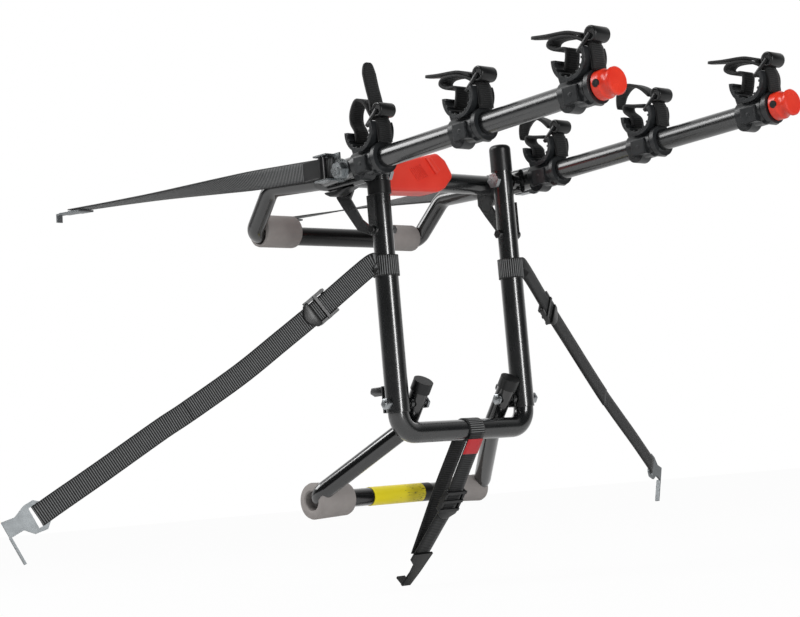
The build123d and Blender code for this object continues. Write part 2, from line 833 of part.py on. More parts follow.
upper_round_start = from_place(upper_round_offset, foot_ear_x, hub_height)
upper_bend = from_place(upper_bend_offset, foot_ear_x, hub_height)
upper_corner = from_place(upper_corner_offset, foot_ear_x, hub_height)
upper_route_points = mirrored_route((upper_round_start, upper_bend, upper_corner))
upper_radii = (foot_bend_radius, foot_corner_radius, foot_corner_radius, foot_bend_radius)
with BuildPart() as upper_foot_tube:
    with BuildLine() as upper_route:
        FilletPolyline(*upper_route_points, radius=upper_radii)
    with BuildSketch(Plane(origin=upper_route.line @ 0, z_dir=upper_route.line % 0)):
        Circle(foot_tube_r)
        Circle(foot_tube_r - foot_tube_wall, mode=Mode.SUBTRACT)
    sweep(path=upper_route.line)
    for side, sign in sides:
        ear_start = (sign * foot_ear_x, -upper_ear_front, hub_height)
        ear_plane = Plane(origin=ear_start, x_dir=(1, 0, 0), z_dir=(0, 1, 0))
        with BuildSketch(ear_plane):
            SlotOverall(upper_ear_height, foot_ear_thickness, rotation=90)
        extrude(amount=upper_ear_front + upper_ear_end)
        round_start = mirror_point(upper_round_start, sign)
        ahead = Vector(*mirror_point(upper_bend, sign)) - Vector(*round_start)
        with BuildSketch(ear_plane.offset(upper_ear_front + upper_ear_end)):
            SlotOverall(upper_ear_height, foot_ear_thickness, rotation=90)
        with BuildSketch(Plane(origin=round_start, z_dir=ahead, x_dir=(1, 0, 0))):
            Circle(foot_tube_r)
        loft()
    x_disc(-leg_spread, leg_spread, 0, hub_height, hub_bolt_r + turn_fit, Mode.SUBTRACT)
finish(upper_foot_tube.part, "upper_foot_tube")

lower_top_point = (lower_arm_x, -lower_arm_top[0], lower_arm_top[1])
lower_bend_point = (lower_arm_x, lower_arm_bend[0], lower_arm_bend[1])
lower_corner = from_place(lower_corner_offset, lower_arm_x, 0)
lower_route_points = mirrored_route((lower_top_point, lower_bend_point, lower_corner))
lower_radii = (lower_bend_radius, foot_corner_radius, foot_corner_radius, lower_bend_radius)
with BuildPart() as lower_foot_tube:
    with BuildLine() as lower_route:
        FilletPolyline(*lower_route_points, radius=lower_radii)
    with BuildSketch(Plane(origin=lower_route.line @ 0, z_dir=lower_route.line % 0)):
        Circle(foot_tube_r)
        Circle(foot_tube_r - foot_tube_wall, mode=Mode.SUBTRACT)
    sweep(path=lower_route.line)
    x_disc(-leg_spread, leg_spread, 0, lower_pivot_height, hub_bolt_r + turn_fit, Mode.SUBTRACT)
finish(lower_foot_tube.part, "lower_foot_tube")

# Caps on the open ends of the lower foot
with BuildPart() as lower_foot_caps:
    for side, sign in sides:
        top = Vector(*mirror_point(lower_top_point, sign))
        bend = Vector(*mirror_point(lower_bend_point, sign))
        down = (bend - top).normalized()
        cap_r = foot_tube_r + slip_fit + lower_cap_wall
        with BuildSketch(Plane(origin=top - down * lower_cap_wall, z_dir=down, x_dir=(1, 0, 0))):
            Circle(cap_r)
        extrude(amount=lower_cap_length)
        with BuildSketch(Plane(origin=top - down * slip_fit, z_dir=down, x_dir=(1, 0, 0))):
            Circle(foot_tube_r + slip_fit)
        extrude(amount=lower_cap_length, mode=Mode.SUBTRACT)
finish(lower_foot_caps.part, "lower_foot_caps")


def foam_roller(label, sign, outer_x, lift, outer_d, bend, corner):
    """A foam roller on a foot's bar, off centre by lift and bored for the tube and its bend."""
    with BuildPart() as foam:
        with BuildSketch(Plane.YZ.offset(sign * outer_x)):
            with Locations((corner[1], corner[2] + lift)):
                Circle(outer_d / 2)
        extrude(amount=-sign * foam_length)
        fillet(foam.edges().filter_by(GeomType.CIRCLE), radius=foam_edge_radius)
        with BuildLine() as route:
            FilletPolyline(
                mirror_point(bend, sign),
                mirror_point(corner, sign),
                (0, corner[1], corner[2]),
                radius=foot_corner_radius,
            )
        with BuildSketch(Plane(origin=route.line @ 0, z_dir=route.line % 0)):
            Circle(foot_tube_r + slip_fit)
        sweep(path=route.line, mode=Mode.SUBTRACT)
    finish(foam.part, label)


# Foam rollers of both feet
upper_foam_outer = upper_corner[0] - upper_foam_inset
lower_foam_outer = lower_corner[0] - lower_foam_inset
for side, sign, lift, outer_d in (
    ("left", -1, upper_foam_left_lift, upper_foam_left_od),
    ("right", 1, upper_foam_right_lift, upper_foam_right_od),
):
    foam_roller(f"upper_foam_{side}", sign, upper_foam_outer, lift, outer_d, upper_bend, upper_corner)
for side, sign, outer_d in (("left", -1, lower_foam_left_od), ("right", 1, lower_foam_right_od)):
    foam_roller(f"lower_foam_{side}", sign, lower_foam_outer, 0, outer_d, lower_bend_point, lower_corner)


# Sleeves on the bars between the rollers
def bar_sleeve(label, half_length, corner):
    """A thin sleeve around a foot's bar."""
    with BuildPart() as sleeve:
        with BuildSketch(Plane.YZ.offset(-half_length)):
            with Locations((corner[1], corner[2])):
                Circle(foot_tube_r + slip_fit + band_thickness)
                Circle(foot_tube_r + slip_fit, mode=Mode.SUBTRACT)
        extrude(amount=2 * half_length)
    finish(sleeve.part, label)


bar_sleeve("upper_foot_sleeve", upper_foam_outer - foam_length - side_gap, upper_corner)
bar_sleeve("lower_foot_band", lower_band_half_length, lower_corner)


# Side straps: a turn around each sleeve, a doubled run to the step, a single run to the hook
def strap_frame(point, ahead_to):
    """A plane in the webbing: local X along the strap, local Y across it."""
    ahead = (Vector(*ahead_to) - Vector(*point)).normalized()
    across = (Vector(0, 0, 1) - ahead * ahead.Z).normalized()
    return Plane(origin=point, x_dir=ahead, z_dir=ahead.cross(across))


side_wrap_height = sleeve_top + side_wrap_rise
side_buckle_point = from_place(side_buckle_offset, leg_x, sleeve_top)
side_step_point = from_place(side_step_offset, leg_x, sleeve_top)
side_end_point = from_place(side_end_offset, leg_x, sleeve_top)
doubled_thickness = 2 * webbing_thickness + doubled_gap
wrap_inner = sleeve_r + slip_fit
for side, sign in sides:
    leg_point = (sign * (leg_x + wrap_inner + side_gap), 0, side_wrap_height)
    turn_point = (leg_point[0] + sign * side_strap_rise_length, 0, side_wrap_height)
    step_point = mirror_point(side_step_point, sign)
    end_point = mirror_point(side_end_point, sign)
    with BuildPart() as side_strap:
        with BuildSketch(Plane.XY.offset(side_wrap_height - webbing_width / 2)):
            with Locations((sign * leg_x, 0)):
                Circle(wrap_inner + webbing_thickness)
                Circle(wrap_inner, mode=Mode.SUBTRACT)
        extrude(amount=webbing_width)
        ribbon((leg_point, turn_point, step_point), (0, 0, 0), webbing_width, doubled_thickness)
        ribbon((step_point, end_point), (0, 0), webbing_width, webbing_thickness)
    finish(side_strap.part, f"side_strap_{side}")


# Ladder lock buckles: two rails beside the webbing, outer bars in front and a bar behind
def ladder_lock(plane, face):
    """A ladder lock around doubled webbing; face is the side its outer bars are on."""
    bar_gap = 2 * side_gap
    half_window = webbing_width / 2 + bar_gap
    rail = (ladder_lock_width - 2 * half_window) / 2
    for edge in (-1, 1):
        with BuildSketch(plane.offset(-ladder_lock_thickness / 2)) as rails:
            with Locations((0, edge * (half_window + rail / 2))):
                RectangleRounded(ladder_lock_length, rail, rail / 3)
        extrude(rails.sketch, amount=ladder_lock_thickness, dir=plane.z_dir)
    front = face * (doubled_thickness / 2 + bar_gap)
    with BuildSketch(plane.offset(front)) as bars:
        for place in (-1, 0, 1):
            with Locations((place * (ladder_lock_length - ladder_bar) / 2, 0)):
                Rectangle(ladder_bar, ladder_lock_width)
    bar_height = ladder_bar / 2
    extrude(bars.sketch, amount=bar_height, dir=plane.z_dir * face)
    with BuildSketch(plane.offset(-front)) as back:
        Rectangle(ladder_bar, ladder_lock_width)
    extrude(back.sketch, amount=bar_height, dir=plane.z_dir * -face)


with BuildPart() as side_strap_buckles:
    for side, sign in sides:
        buckle_point = mirror_point(side_buckle_point, sign)
        lock_plane = strap_frame(buckle_point, mirror_point(side_step_point, sign))
        ladder_lock(lock_plane, -sign)
finish(side_strap_buckles.part, "side_strap_buckles")

# Side hooks: a flat plate with a slot for the webbing, and a lip turned down at its end.
# Outline in the strap's plane, as shares of the plate's length.
side_hook_shares = (
    (-0.03, 0.44),
    (-0.17, 0.32),
    (-0.17, -0.30),
    (-0.01, -0.44),
    (0.35, -0.385),
    (0.56, -0.14),
    (1.0, -0.14),
    (1.0, 0.35),
    (0.61, 0.285),
    (0.26, 0.43),
)
hook_seat = webbing_thickness / 2 + side_gap
with BuildPart() as side_hooks:
    for side, sign in sides:
        end_plane = strap_frame(mirror_point(side_step_point, sign), mirror_point(side_end_point, sign))
        end_plane.origin = mirror_point(side_end_point, sign)
        face_normal = end_plane.z_dir * -sign
        with BuildSketch(end_plane.offset(-sign * hook_seat)) as plate:
            Polygon(*scaled(side_hook_shares, side_hook_length), align=None)
            with Locations((side_hook_slot, 0)):
                Rectangle(side_hook_slot, webbing_width, mode=Mode.SUBTRACT)
        extrude(plate.sketch, amount=side_hook_thickness, dir=face_normal)
        with BuildSketch(end_plane.offset(-sign * hook_seat)) as lip:
            with Locations((side_hook_length, -side_hook_length * side_hook_lip_share)):
                Rectangle(side_hook_thickness, side_hook_lip, align=(Align.MAX, Align.MAX))
        extrude(lip.sketch, amount=side_hook_lip_width, dir=face_normal)
finish(side_hooks.part, "side_hooks")

# Upper straps: webbing that starts on edge in the cam buckle and turns flat toward its hook
strap_start_x = buckle_plate_outer + upper_strap_gap + webbing_thickness / 2
upper_strap_start = (
    strap_start_x,
    upper_strap_start_offset[0],
    hub_height + upper_strap_start_offset[1],
)
upper_strap_end = from_place(upper_strap_end_offset, strap_start_x, hub_height)
for side, sign in sides:
    start = Vector(*mirror_point(upper_strap_start, sign))
    end = Vector(*mirror_point(upper_strap_end, sign))
    places = [start + (end - start) * share for share in upper_strap_places_shares]
    points = [(place.X, place.Y, place.Z) for place in places]
    turns = [sign * turn for turn in upper_strap_turns]
    with BuildPart() as upper_strap:
        ribbon(points, turns, webbing_width, webbing_thickness)
    finish(upper_strap.part, f"upper_strap_{side}")

with BuildPart() as upper_hooks:
    for side, sign in sides:
        start = Vector(*mirror_point(upper_strap_start, sign))
        end = Vector(*mirror_point(upper_strap_end, sign))
        ahead = (end - start).normalized()
        hook_plane = Plane(origin=end, x_dir=ahead, z_dir=Vector(0, 0, 1) - ahead * ahead.Z)
        with BuildSketch(hook_plane.offset(-webbing_thickness - side_gap)) as plate:
            Rectangle(upper_hook_length * 2 / 3, upper_hook_width, align=(Align.MIN, Align.CENTER))
            with Locations((upper_hook_length * 2 / 3, 0)):
                Rectangle(upper_hook_length / 3, upper_hook_width / 2, align=(Align.MIN, Align.CENTER))
            with Locations((-webbing_width / 2, 0)):
                Rectangle(webbing_width, webbing_width)
        extrude(plate.sketch, amount=-upper_hook_thickness, dir=hook_plane.z_dir)
        with BuildSketch(hook_plane.offset(-webbing_thickness - side_gap)) as lip:
            with Locations((upper_hook_length, 0)):
                Rectangle(upper_hook_thickness, upper_hook_width / 2, align=(Align.MAX, Align.CENTER))
        extrude(lip.sketch, amount=-upper_hook_lip, dir=hook_plane.z_dir)
finish(upper_hooks.part, "upper_hooks")

# Cam buckles: a steel frame on each hub bolt, with a knurled cam on a lever
cam_z = hub_height + cam_frame_raise
strap_outer = upper_strap_start[0] + webbing_thickness / 2
cam_x = strap_outer + cam_clearance + cam_roller_d / 2
flange_end = cam_x + cam_roller_d / 2
with BuildPart() as upper_buckle_frames:
    for side, sign in sides:
        with BuildSketch(Plane.YZ.offset(sign * buckle_plate_inner)):
            with Locations((0, hub_height)):
                Circle(cam_eye_d / 2)
            with Locations((0, cam_z)):
                Rectangle(cam_frame_length, cam_frame_height, align=(Align.MIN, Align.CENTER))
        extrude(amount=sign * buckle_plate_thickness)
        for edge in (-1, 1):
            with BuildSketch(Plane.YZ.offset(sign * buckle_plate_inner)):
                flange_z = cam_z + edge * (cam_frame_height - buckle_plate_thickness) / 2
                with Locations((cam_flange_start, flange_z)):
                    Rectangle(
                        cam_frame_length - cam_flange_start,
                        buckle_plate_thickness,
                        align=(Align.MIN, Align.CENTER),
                    )
            extrude(amount=sign * (flange_end - buckle_plate_inner))
        with BuildSketch(Plane.XY.offset(cam_z - cam_frame_height / 2)):
            with Locations((sign * cam_x, cam_place)):
                Circle(cam_pin_d / 2)
        extrude(amount=cam_frame_height)
        x_disc(0, sign * leg_spread, 0, hub_height, hub_bolt_r + slip_fit, Mode.SUBTRACT)
finish(upper_buckle_frames.part, "upper_buckle_frames")

cam_height = cam_frame_height - 2 * buckle_plate_thickness - 2 * side_gap
for side, sign in sides:
    with BuildPart() as buckle_lever:
        with BuildSketch(Plane.XY.offset(cam_z - cam_height / 2)):
            with Locations((sign * cam_x, cam_place)):
                Circle(cam_roller_d / 2)
        extrude(amount=cam_height)
        with BuildSketch(Plane.XY.offset(cam_z - cam_lever_height / 2)):
            with Locations((sign * (cam_x + cam_roller_d / 2 - cam_lever_thickness / 2), cam_place)):
                Rectangle(
                    cam_lever_thickness,
                    cam_lever_length,
                    align=(Align.CENTER, Align.MIN),
                )
        extrude(amount=cam_lever_height)
        with BuildSketch(Plane.XY.offset(cam_z - cam_height / 2)):
            with Locations((sign * cam_x, cam_place)):
                Circle(cam_pin_d / 2 + turn_fit)
        extrude(amount=cam_height, mode=Mode.SUBTRACT)
    finish(buckle_lever.part, f"buckle_lever_{side}")

# Bottom strap: a turn around the bottom bar, a front run through the buckle and a back run,
# both down to the black hook. Routes in the plane x = bottom_strap_x, as (y, z) points.
strap_plane = Plane(origin=(bottom_strap_x, 0, 0), x_dir=(0, 1, 0), z_dir=(1, 0, 0))
bar_wrap_inner = frame_tube_r + slip_fit
wrap_outer = bar_wrap_inner + webbing_thickness
front_points = (
    polar_point(wrap_outer, front_run_degrees[0]),
    polar_point(wrap_outer, front_run_degrees[1]),
    bottom_buckle_point,
    bottom_hook_point,
)
back_end = (bottom_hook_point[0] + 2 * webbing_thickness, bottom_hook_point[1] + 2 * webbing_thickness)
back_points = (polar_point(wrap_outer, back_run_degrees), bottom_back_point, back_end)
with BuildPart() as bottom_strap:
    with BuildSketch(strap_plane):
        Circle(wrap_outer)
        Circle(bar_wrap_inner, mode=Mode.SUBTRACT)
    extrude(amount=webbing_width / 2, both=True)
    for points in (front_points, back_points):
        with BuildLine(strap_plane) as run:
            FilletPolyline(*points, radius=webbing_thickness * 2)
        with BuildSketch(Plane(origin=run.line @ 0, x_dir=(1, 0, 0), z_dir=run.line % 0)):
            Rectangle(webbing_width, webbing_thickness)
        sweep(path=run.line)
finish(bottom_strap.part, "bottom_strap")

with BuildPart() as bottom_strap_buckle:
    top_vector = Vector(*front_points[1])
    low_vector = Vector(*bottom_hook_point)
    ahead = (low_vector - top_vector).normalized()
    lock_plane = Plane(
        origin=(bottom_strap_x, *bottom_buckle_point),
        x_dir=(0, ahead.X, ahead.Y),
        z_dir=(0, ahead.Y, -ahead.X),
    )
    ladder_lock(lock_plane, 1)
finish(bottom_strap_buckle.part, "bottom_strap_buckle")

# Black bottom hook. Outline in the strap's plane, as shares of its length.
bottom_hook_shares = (
    (-0.12, -0.33),
    (0.10, -0.33),
    (0.30, -0.12),
    (0.55, -0.10),
    (1.0, -0.16),
    (1.0, 0.14),
    (0.55, 0.24),
    (-0.12, 0.33),
)
with BuildPart() as bottom_hook:
    ahead = (Vector(*bottom_hook_point) - Vector(*bottom_buckle_point)).normalized()
    hook_plane = Plane(
        origin=(bottom_strap_x, *bottom_hook_point),
        x_dir=(0, ahead.X, ahead.Y),
        z_dir=(0, ahead.Y, -ahead.X),
    )
    with BuildSketch(hook_plane.offset(hook_seat)):
        Polygon(*scaled(bottom_hook_shares, bottom_hook_length), align=None)
    extrude(amount=bottom_hook_thickness)
    with BuildSketch(hook_plane.offset(hook_seat)):
        with Locations((bottom_hook_length, 0)):
            Rectangle(
                bottom_hook_thickness,
                bottom_hook_length * bottom_hook_lip_share,
                align=(Align.MAX, Align.CENTER),
            )
    extrude(amount=-bottom_hook_lip)
finish(bottom_hook.part, "bottom_hook")

# Red tag sewn on the bottom strap, below its turn
with BuildPart() as strap_tag:
    ahead = (Vector(*bottom_buckle_point) - Vector(*front_points[1])).normalized()
    tag_plane = Plane(
        origin=(bottom_strap_x, *front_points[1]),
        x_dir=(0, ahead.X, ahead.Y),
        z_dir=(0, ahead.Y, -ahead.X),
    )
    with BuildSketch(tag_plane.offset(webbing_thickness / 2 + slip_fit)):
        with Locations((tag_drop, 0)):
            Rectangle(tag_length, webbing_width, align=(Align.MIN, Align.CENTER))
    extrude(amount=tag_thickness)
finish(strap_tag.part, "strap_tag")
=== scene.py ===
# %% [markdown]
# # Trunk mounted bike rack
# A folding rack that straps to the back of a car and carries three bicycles. Its hard parts come
# ready from a CAD model, and this notebook gives them their finishes. The foam rollers, the webbing,
# the rubber straps and the finely moulded parts could be left plain, but they catch the eye first,
# so they are modelled again here with their real surface. Everything is in metres, in the frame of
# the CAD model: +Z up, +Y to the car, -Y to the bicycles.

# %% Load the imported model
import math

import bmesh
import bpy
from mathutils import Matrix, Vector


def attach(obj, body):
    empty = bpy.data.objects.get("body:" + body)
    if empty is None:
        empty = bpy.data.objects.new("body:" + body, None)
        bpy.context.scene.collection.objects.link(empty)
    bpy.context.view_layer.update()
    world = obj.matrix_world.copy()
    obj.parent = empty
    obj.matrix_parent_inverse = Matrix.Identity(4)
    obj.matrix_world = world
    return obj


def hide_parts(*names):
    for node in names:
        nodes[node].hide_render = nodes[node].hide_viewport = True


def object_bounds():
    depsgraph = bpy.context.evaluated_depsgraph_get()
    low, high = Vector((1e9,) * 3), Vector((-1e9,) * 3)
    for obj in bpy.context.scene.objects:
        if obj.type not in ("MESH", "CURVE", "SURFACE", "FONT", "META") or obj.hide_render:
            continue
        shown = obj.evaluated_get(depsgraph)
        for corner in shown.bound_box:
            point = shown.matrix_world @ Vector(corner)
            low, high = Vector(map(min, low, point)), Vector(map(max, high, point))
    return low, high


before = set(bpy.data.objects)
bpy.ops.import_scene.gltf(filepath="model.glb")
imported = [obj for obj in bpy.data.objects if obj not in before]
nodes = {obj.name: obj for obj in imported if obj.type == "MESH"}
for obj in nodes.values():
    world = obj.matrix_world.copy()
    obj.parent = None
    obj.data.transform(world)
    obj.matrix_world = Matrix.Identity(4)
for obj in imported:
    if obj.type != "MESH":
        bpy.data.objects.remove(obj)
cad_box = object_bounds()
print("nodes", len(nodes))

# %% [markdown]
# Sizes on the real rack are known in millimetres, and colours as they look on a screen. The
# renderer wants metres and linear light. Each number could be turned by hand, but two small
# functions keep the real sizes and colours readable in the text.


# %% Units and colours
def mm(value):
    """Millimetres in metres."""
    return value / 1000


def linear(hex_colour):
    """An sRGB hex colour as linear red, green, blue and alpha."""
    channels = [int(hex_colour[i : i + 2], 16) / 255 for i in (1, 3, 5)]
    low = [c / 12.92 if c <= 0.04045 else ((c + 0.055) / 1.055) ** 2.4 for c in channels]
    return (*low, 1.0)


print("mid grey in linear light", round(linear("#808080")[0], 3))

# %% [markdown]
# A material in Blender is a small network of nodes. It could be drawn in the editor, but written
# down it can be read and repeated. One function adds a node with its settings and links, and two
# more open a material and close it with its shader.


# %% Nodes and materials
def add(tree, kind, settings=None, **inputs):
    """Adds a node; inputs are values or (node, output) links, named with _ for spaces, or i0, i1."""
    node = tree.nodes.new(kind)
    for key, value in (settings or {}).items():
        setattr(node, key, value)
    for key, value in inputs.items():
        numbered = key[0] == "i" and key[1:].isdigit()
        socket = node.inputs[int(key[1:]) if numbered else key.replace("_", " ")]
        if isinstance(value, tuple) and isinstance(value[0], bpy.types.Node):
            tree.links.new(value[0].outputs[value[1]], socket)
        else:
            socket.default_value = value
    return node


def new_material(name):
    """An empty material with its output node."""
    material = bpy.data.materials.new(name)
    material.use_nodes = True
    tree = material.node_tree
    tree.nodes.clear()
    output = add(tree, "ShaderNodeOutputMaterial")
    return material, tree, output


def close(material, tree, output, shader):
    """Joins a shader to the output."""
    tree.links.new(shader.outputs[0], output.inputs["Surface"])
    material.diffuse_color = shader.inputs["Base Color"].default_value
    return material


# %% [markdown]
# The frame, arms and feet are steel tube with a black powder coat. The powder melts into a skin
# with a fine orange peel, so highlights are broad and soft. A moulded plastic has a skin of the
# same kind, so both share this function. The grain is bump, because it is far finer than the mesh,
# and the edges of plates are rounded by the Bevel node, because the real radius is under 1 mm.


# %% A coated or moulded skin
CLOUD_PER_GRAIN = 28  # the slow change of shade, in grains
ROUGHNESS_SPREAD = 0.05


def coated(name, colour, shade, roughness, grain_mm, bump_mm, edge_mm=0.5, ior=1.5, coat=0.0):
    """A smooth skin with a fine grain and slow clouds of a second shade."""
    material, tree, output = new_material(name)
    spot = (add(tree, "ShaderNodeTexCoord"), "Object")
    fine = 1 / mm(grain_mm)
    coarse = 1 / mm(grain_mm * CLOUD_PER_GRAIN)
    grain = add(tree, "ShaderNodeTexNoise", Vector=spot, Scale=fine, Detail=3.0, Roughness=0.6)
    cloud = add(tree, "ShaderNodeTexNoise", Vector=spot, Scale=coarse, Detail=2.0)
    tint = add(
        tree,
        "ShaderNodeMix",
        {"data_type": "RGBA"},
        Factor=(cloud, "Fac"),
        A=linear(colour),
        B=linear(shade),
    )
    gloss = add(
        tree,
        "ShaderNodeMapRange",
        Value=(cloud, "Fac"),
        To_Min=roughness - ROUGHNESS_SPREAD,
        To_Max=roughness + ROUGHNESS_SPREAD,
    )
    edge = add(tree, "ShaderNodeBevel", {"samples": 4}, Radius=mm(edge_mm))
    skin = add(
        tree,
        "ShaderNodeBump",
        Strength=0.35,
        Distance=mm(bump_mm),
        Height=(grain, "Fac"),
        Normal=(edge, "Normal"),
    )
    shader = add(
        tree,
        "ShaderNodeBsdfPrincipled",
        Base_Color=(tint, 2),
        Roughness=(gloss, "Result"),
        IOR=ior,
        Coat_Weight=coat,
        Coat_Roughness=0.12,
        Coat_Normal=(skin, "Normal"),
        Normal=(skin, "Normal"),
    )
    return close(material, tree, output, shader)


# %% [markdown]
# One call makes each finish of this rack. Its numbers are the roughness, the width of the grain and
# its height in millimetres. Orange peel is 1 to 3 mm wide on real powder coat, and moulded
# plastic is spark eroded at about 0.1 mm, which is drawn at 0.6 to 0.8 mm so that it shows.

# %% Powder coats and plastics
# baked polyester powder: black, with a broad highlight and a thin bright one from its clear skin
powder_coat = coated("black_powder_coat", "#0d0f10", "#141617", 0.27, 0.9, 0.03, ior=1.7, coat=0.8)
# the feet have a glossier coat, so their highlights are narrower
gloss_coat = coated("black_gloss_powder_coat", "#090a0b", "#0e0f10", 0.2, 0.9, 0.02, ior=1.7, coat=0.8)
# soft polyethylene, moulded: caps look satin
cap_plastic = coated("black_ldpe_cap", "#0c0d0e", "#141516", 0.36, 0.7, 0.05)
# glass filled nylon, moulded: charcoal, with a satin skin and edges that catch the light
cradle_plastic = coated("charcoal_nylon", "#1c1e1f", "#2a2c2e", 0.3, 0.6, 0.08, edge_mm=0.9)
# acetal, moulded: black and slick, for buckles and rivets
buckle_plastic = coated("black_acetal", "#0d0e0f", "#161718", 0.32, 0.6, 0.04)
# ABS, moulded: bright red with a clear highlight
red_plastic = coated("red_abs", "#d4281a", "#e63c22", 0.26, 0.8, 0.03, edge_mm=0.8)
# polypropylene, moulded: a softer, slightly waxy red
handle_plastic = coated("red_polypropylene", "#dd3124", "#ea4230", 0.36, 0.8, 0.05, edge_mm=1.2)
# heat shrunk vinyl film: deep black and tight, with a sharp highlight
sleeve_film = coated("black_vinyl_sleeve", "#040404", "#090909", 0.24, 1.2, 0.02)
print("coats and plastics", len(bpy.data.materials))


# %% [markdown]
# Bolts, buckles and hooks are steel with a thin bright zinc plating. It is metal all through the
# reflection, so Metallic is 1, and the plating and tumbling leave faint cloudy streaks. The hooks
# are tumbled in bulk, so they are duller. A picture of plated steel could be wrapped on, but the
# parts have no flat sides to wrap, so noise in object space is simpler and has no seams.


# %% Zinc plated steel
def zinc(name, colour, roughness):
    """Plated steel with faint streaks."""
    streak_mm, dent_mm, spread = 9, 0.04, 0.08
    material, tree, output = new_material(name)
    spot = (add(tree, "ShaderNodeTexCoord"), "Object")
    size = 1 / mm(streak_mm)
    cloud = add(tree, "ShaderNodeTexNoise", Vector=spot, Scale=size, Detail=3.0, Roughness=0.5)
    gloss = add(
        tree,
        "ShaderNodeMapRange",
        Value=(cloud, "Fac"),
        To_Min=roughness - spread,
        To_Max=roughness + spread,
    )
    dents = add(tree, "ShaderNodeBump", Strength=0.1, Distance=mm(dent_mm), Height=(cloud, "Fac"))
    shader = add(
        tree,
        "ShaderNodeBsdfPrincipled",
        Base_Color=linear(colour),
        Metallic=1.0,
        Roughness=(gloss, "Result"),
        Normal=(dents, "Normal"),
    )
    return close(material, tree, output, shader)


zinc_steel = zinc("zinc_plated_steel", "#a9adaf", 0.28)
hook_steel = zinc("tumbled_zinc_steel", "#85898b", 0.46)
print("plated steels", zinc_steel.name, hook_steel.name)

# %% [markdown]
# The hard parts of the CAD model have the right shape already, so each keeps it and takes one of
# these finishes in its material slots. A table from finish to parts is easier to read and to check
# than one line for each of some forty parts.

# %% Give the hard parts their finishes
finishes = {
    powder_coat: (
        "main_frame arm_tube_left arm_tube_right leg_sleeve_left leg_sleeve_right "
        "foot_bracket_left foot_bracket_right yoke_plates yoke_crossbar"
    ),
    gloss_coat: "upper_foot_tube lower_foot_tube hub_spacers yoke_bolts",
    cap_plastic: "post_caps post_collar lower_foot_caps yoke_end_blocks arm_heel_left arm_heel_right",
    cradle_plastic: " ".join(f"cradle_{side}_{n}" for side in ("left", "right") for n in (1, 2, 3)),
    buckle_plastic: (
        "side_strap_buckles bottom_strap_buckle bottom_hook yoke_rivets "
        "buckle_lever_left buckle_lever_right"
    ),
    red_plastic: "arm_end_cap_left arm_end_cap_right",
    handle_plastic: "release_handle",
    sleeve_film: "upper_foot_sleeve",
    zinc_steel: "hub_bolts lower_pivot_bolts upper_buckle_frames",
    hook_steel: "side_hooks upper_hooks",
}
for finish, names in finishes.items():
    for name in names.split():
        nodes[name].data.materials.clear()
        nodes[name].data.materials.append(finish)
print("finished nodes", sum(len(names.split()) for names in finishes.values()))

# %% [markdown]
# Every new part is built in a bmesh, where operators shape it. It is then made an object at the
# origin, set to ride on the body that it moves with, and the CAD nodes that it stands for are
# hidden. One function does that, so that no part misses a step.


# %% Make a piece from a bmesh
def piece(name, bm, material, body, slot, *stands_for, smooth=35):
    """A finished object from a bmesh, riding on a body; edges under smooth degrees shade softly."""
    mesh = bpy.data.meshes.new(name)
    bm.to_mesh(mesh)
    bm.free()
    mesh.materials.append(material)
    thing = bpy.data.objects.new(name, mesh)
    bpy.context.scene.collection.objects.link(thing)
    for polygon in mesh.polygons:
        polygon.use_smooth = True
    bpy.context.view_layer.objects.active = thing
    thing.select_set(True)
    bpy.ops.object.shade_smooth_by_angle(angle=math.radians(smooth))
    thing.select_set(False)
    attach(thing, body)
    if stands_for:
        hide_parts(*stands_for)
    return thing


# %% [markdown]
# The rollers are closed cell foam, which looks matt, because its cut skin is full of tiny open
# cells. The cells are about 0.3 mm across, and are drawn at 0.8 mm so that they show. They are
# bump from a Voronoi pattern: cut into the mesh, they would need millions of faces.


# %% Closed cell foam
def foam_material():
    """Grey foam with a skin of tiny cells."""
    cell_mm, cell_depth_mm, cloud_mm = 0.8, 0.12, 14
    material, tree, output = new_material("grey_eva_foam")
    spot = (add(tree, "ShaderNodeTexCoord"), "Object")
    cells = add(tree, "ShaderNodeTexVoronoi", Vector=spot, Scale=1 / mm(cell_mm))
    cloud = add(tree, "ShaderNodeTexNoise", Vector=spot, Scale=1 / mm(cloud_mm), Detail=4.0)
    tint = add(
        tree,
        "ShaderNodeMix",
        {"data_type": "RGBA"},
        Factor=(cloud, "Fac"),
        A=linear("#878280"),
        B=linear("#9a9592"),
    )
    depth = mm(cell_depth_mm)
    skin = add(tree, "ShaderNodeBump", Strength=0.3, Distance=depth, Height=(cells, "Distance"))
    shader = add(
        tree,
        "ShaderNodeBsdfPrincipled",
        Base_Color=(tint, 2),
        Roughness=0.85,
        IOR=1.45,
        Normal=(skin, "Normal"),
    )
    return close(material, tree, output, shader)


eva_foam = foam_material()
print("foam", eva_foam.name)

# %% [markdown]
# A roller is cut from foam tube and pushed over the foot's bar. It could be a thick cylinder, but
# its ends have a soft rim and its bore opens a little where it was forced on, so half its section
# is drawn as a profile and spun round the bar. The upper rollers sit off centre on their bar, so
# their outer skin is lifted by a few millimetres while the bore stays on the bar.

# %% Spin a foam roller
BAR_RADIUS = mm(11.1)
ROLLER_STEPS = 64


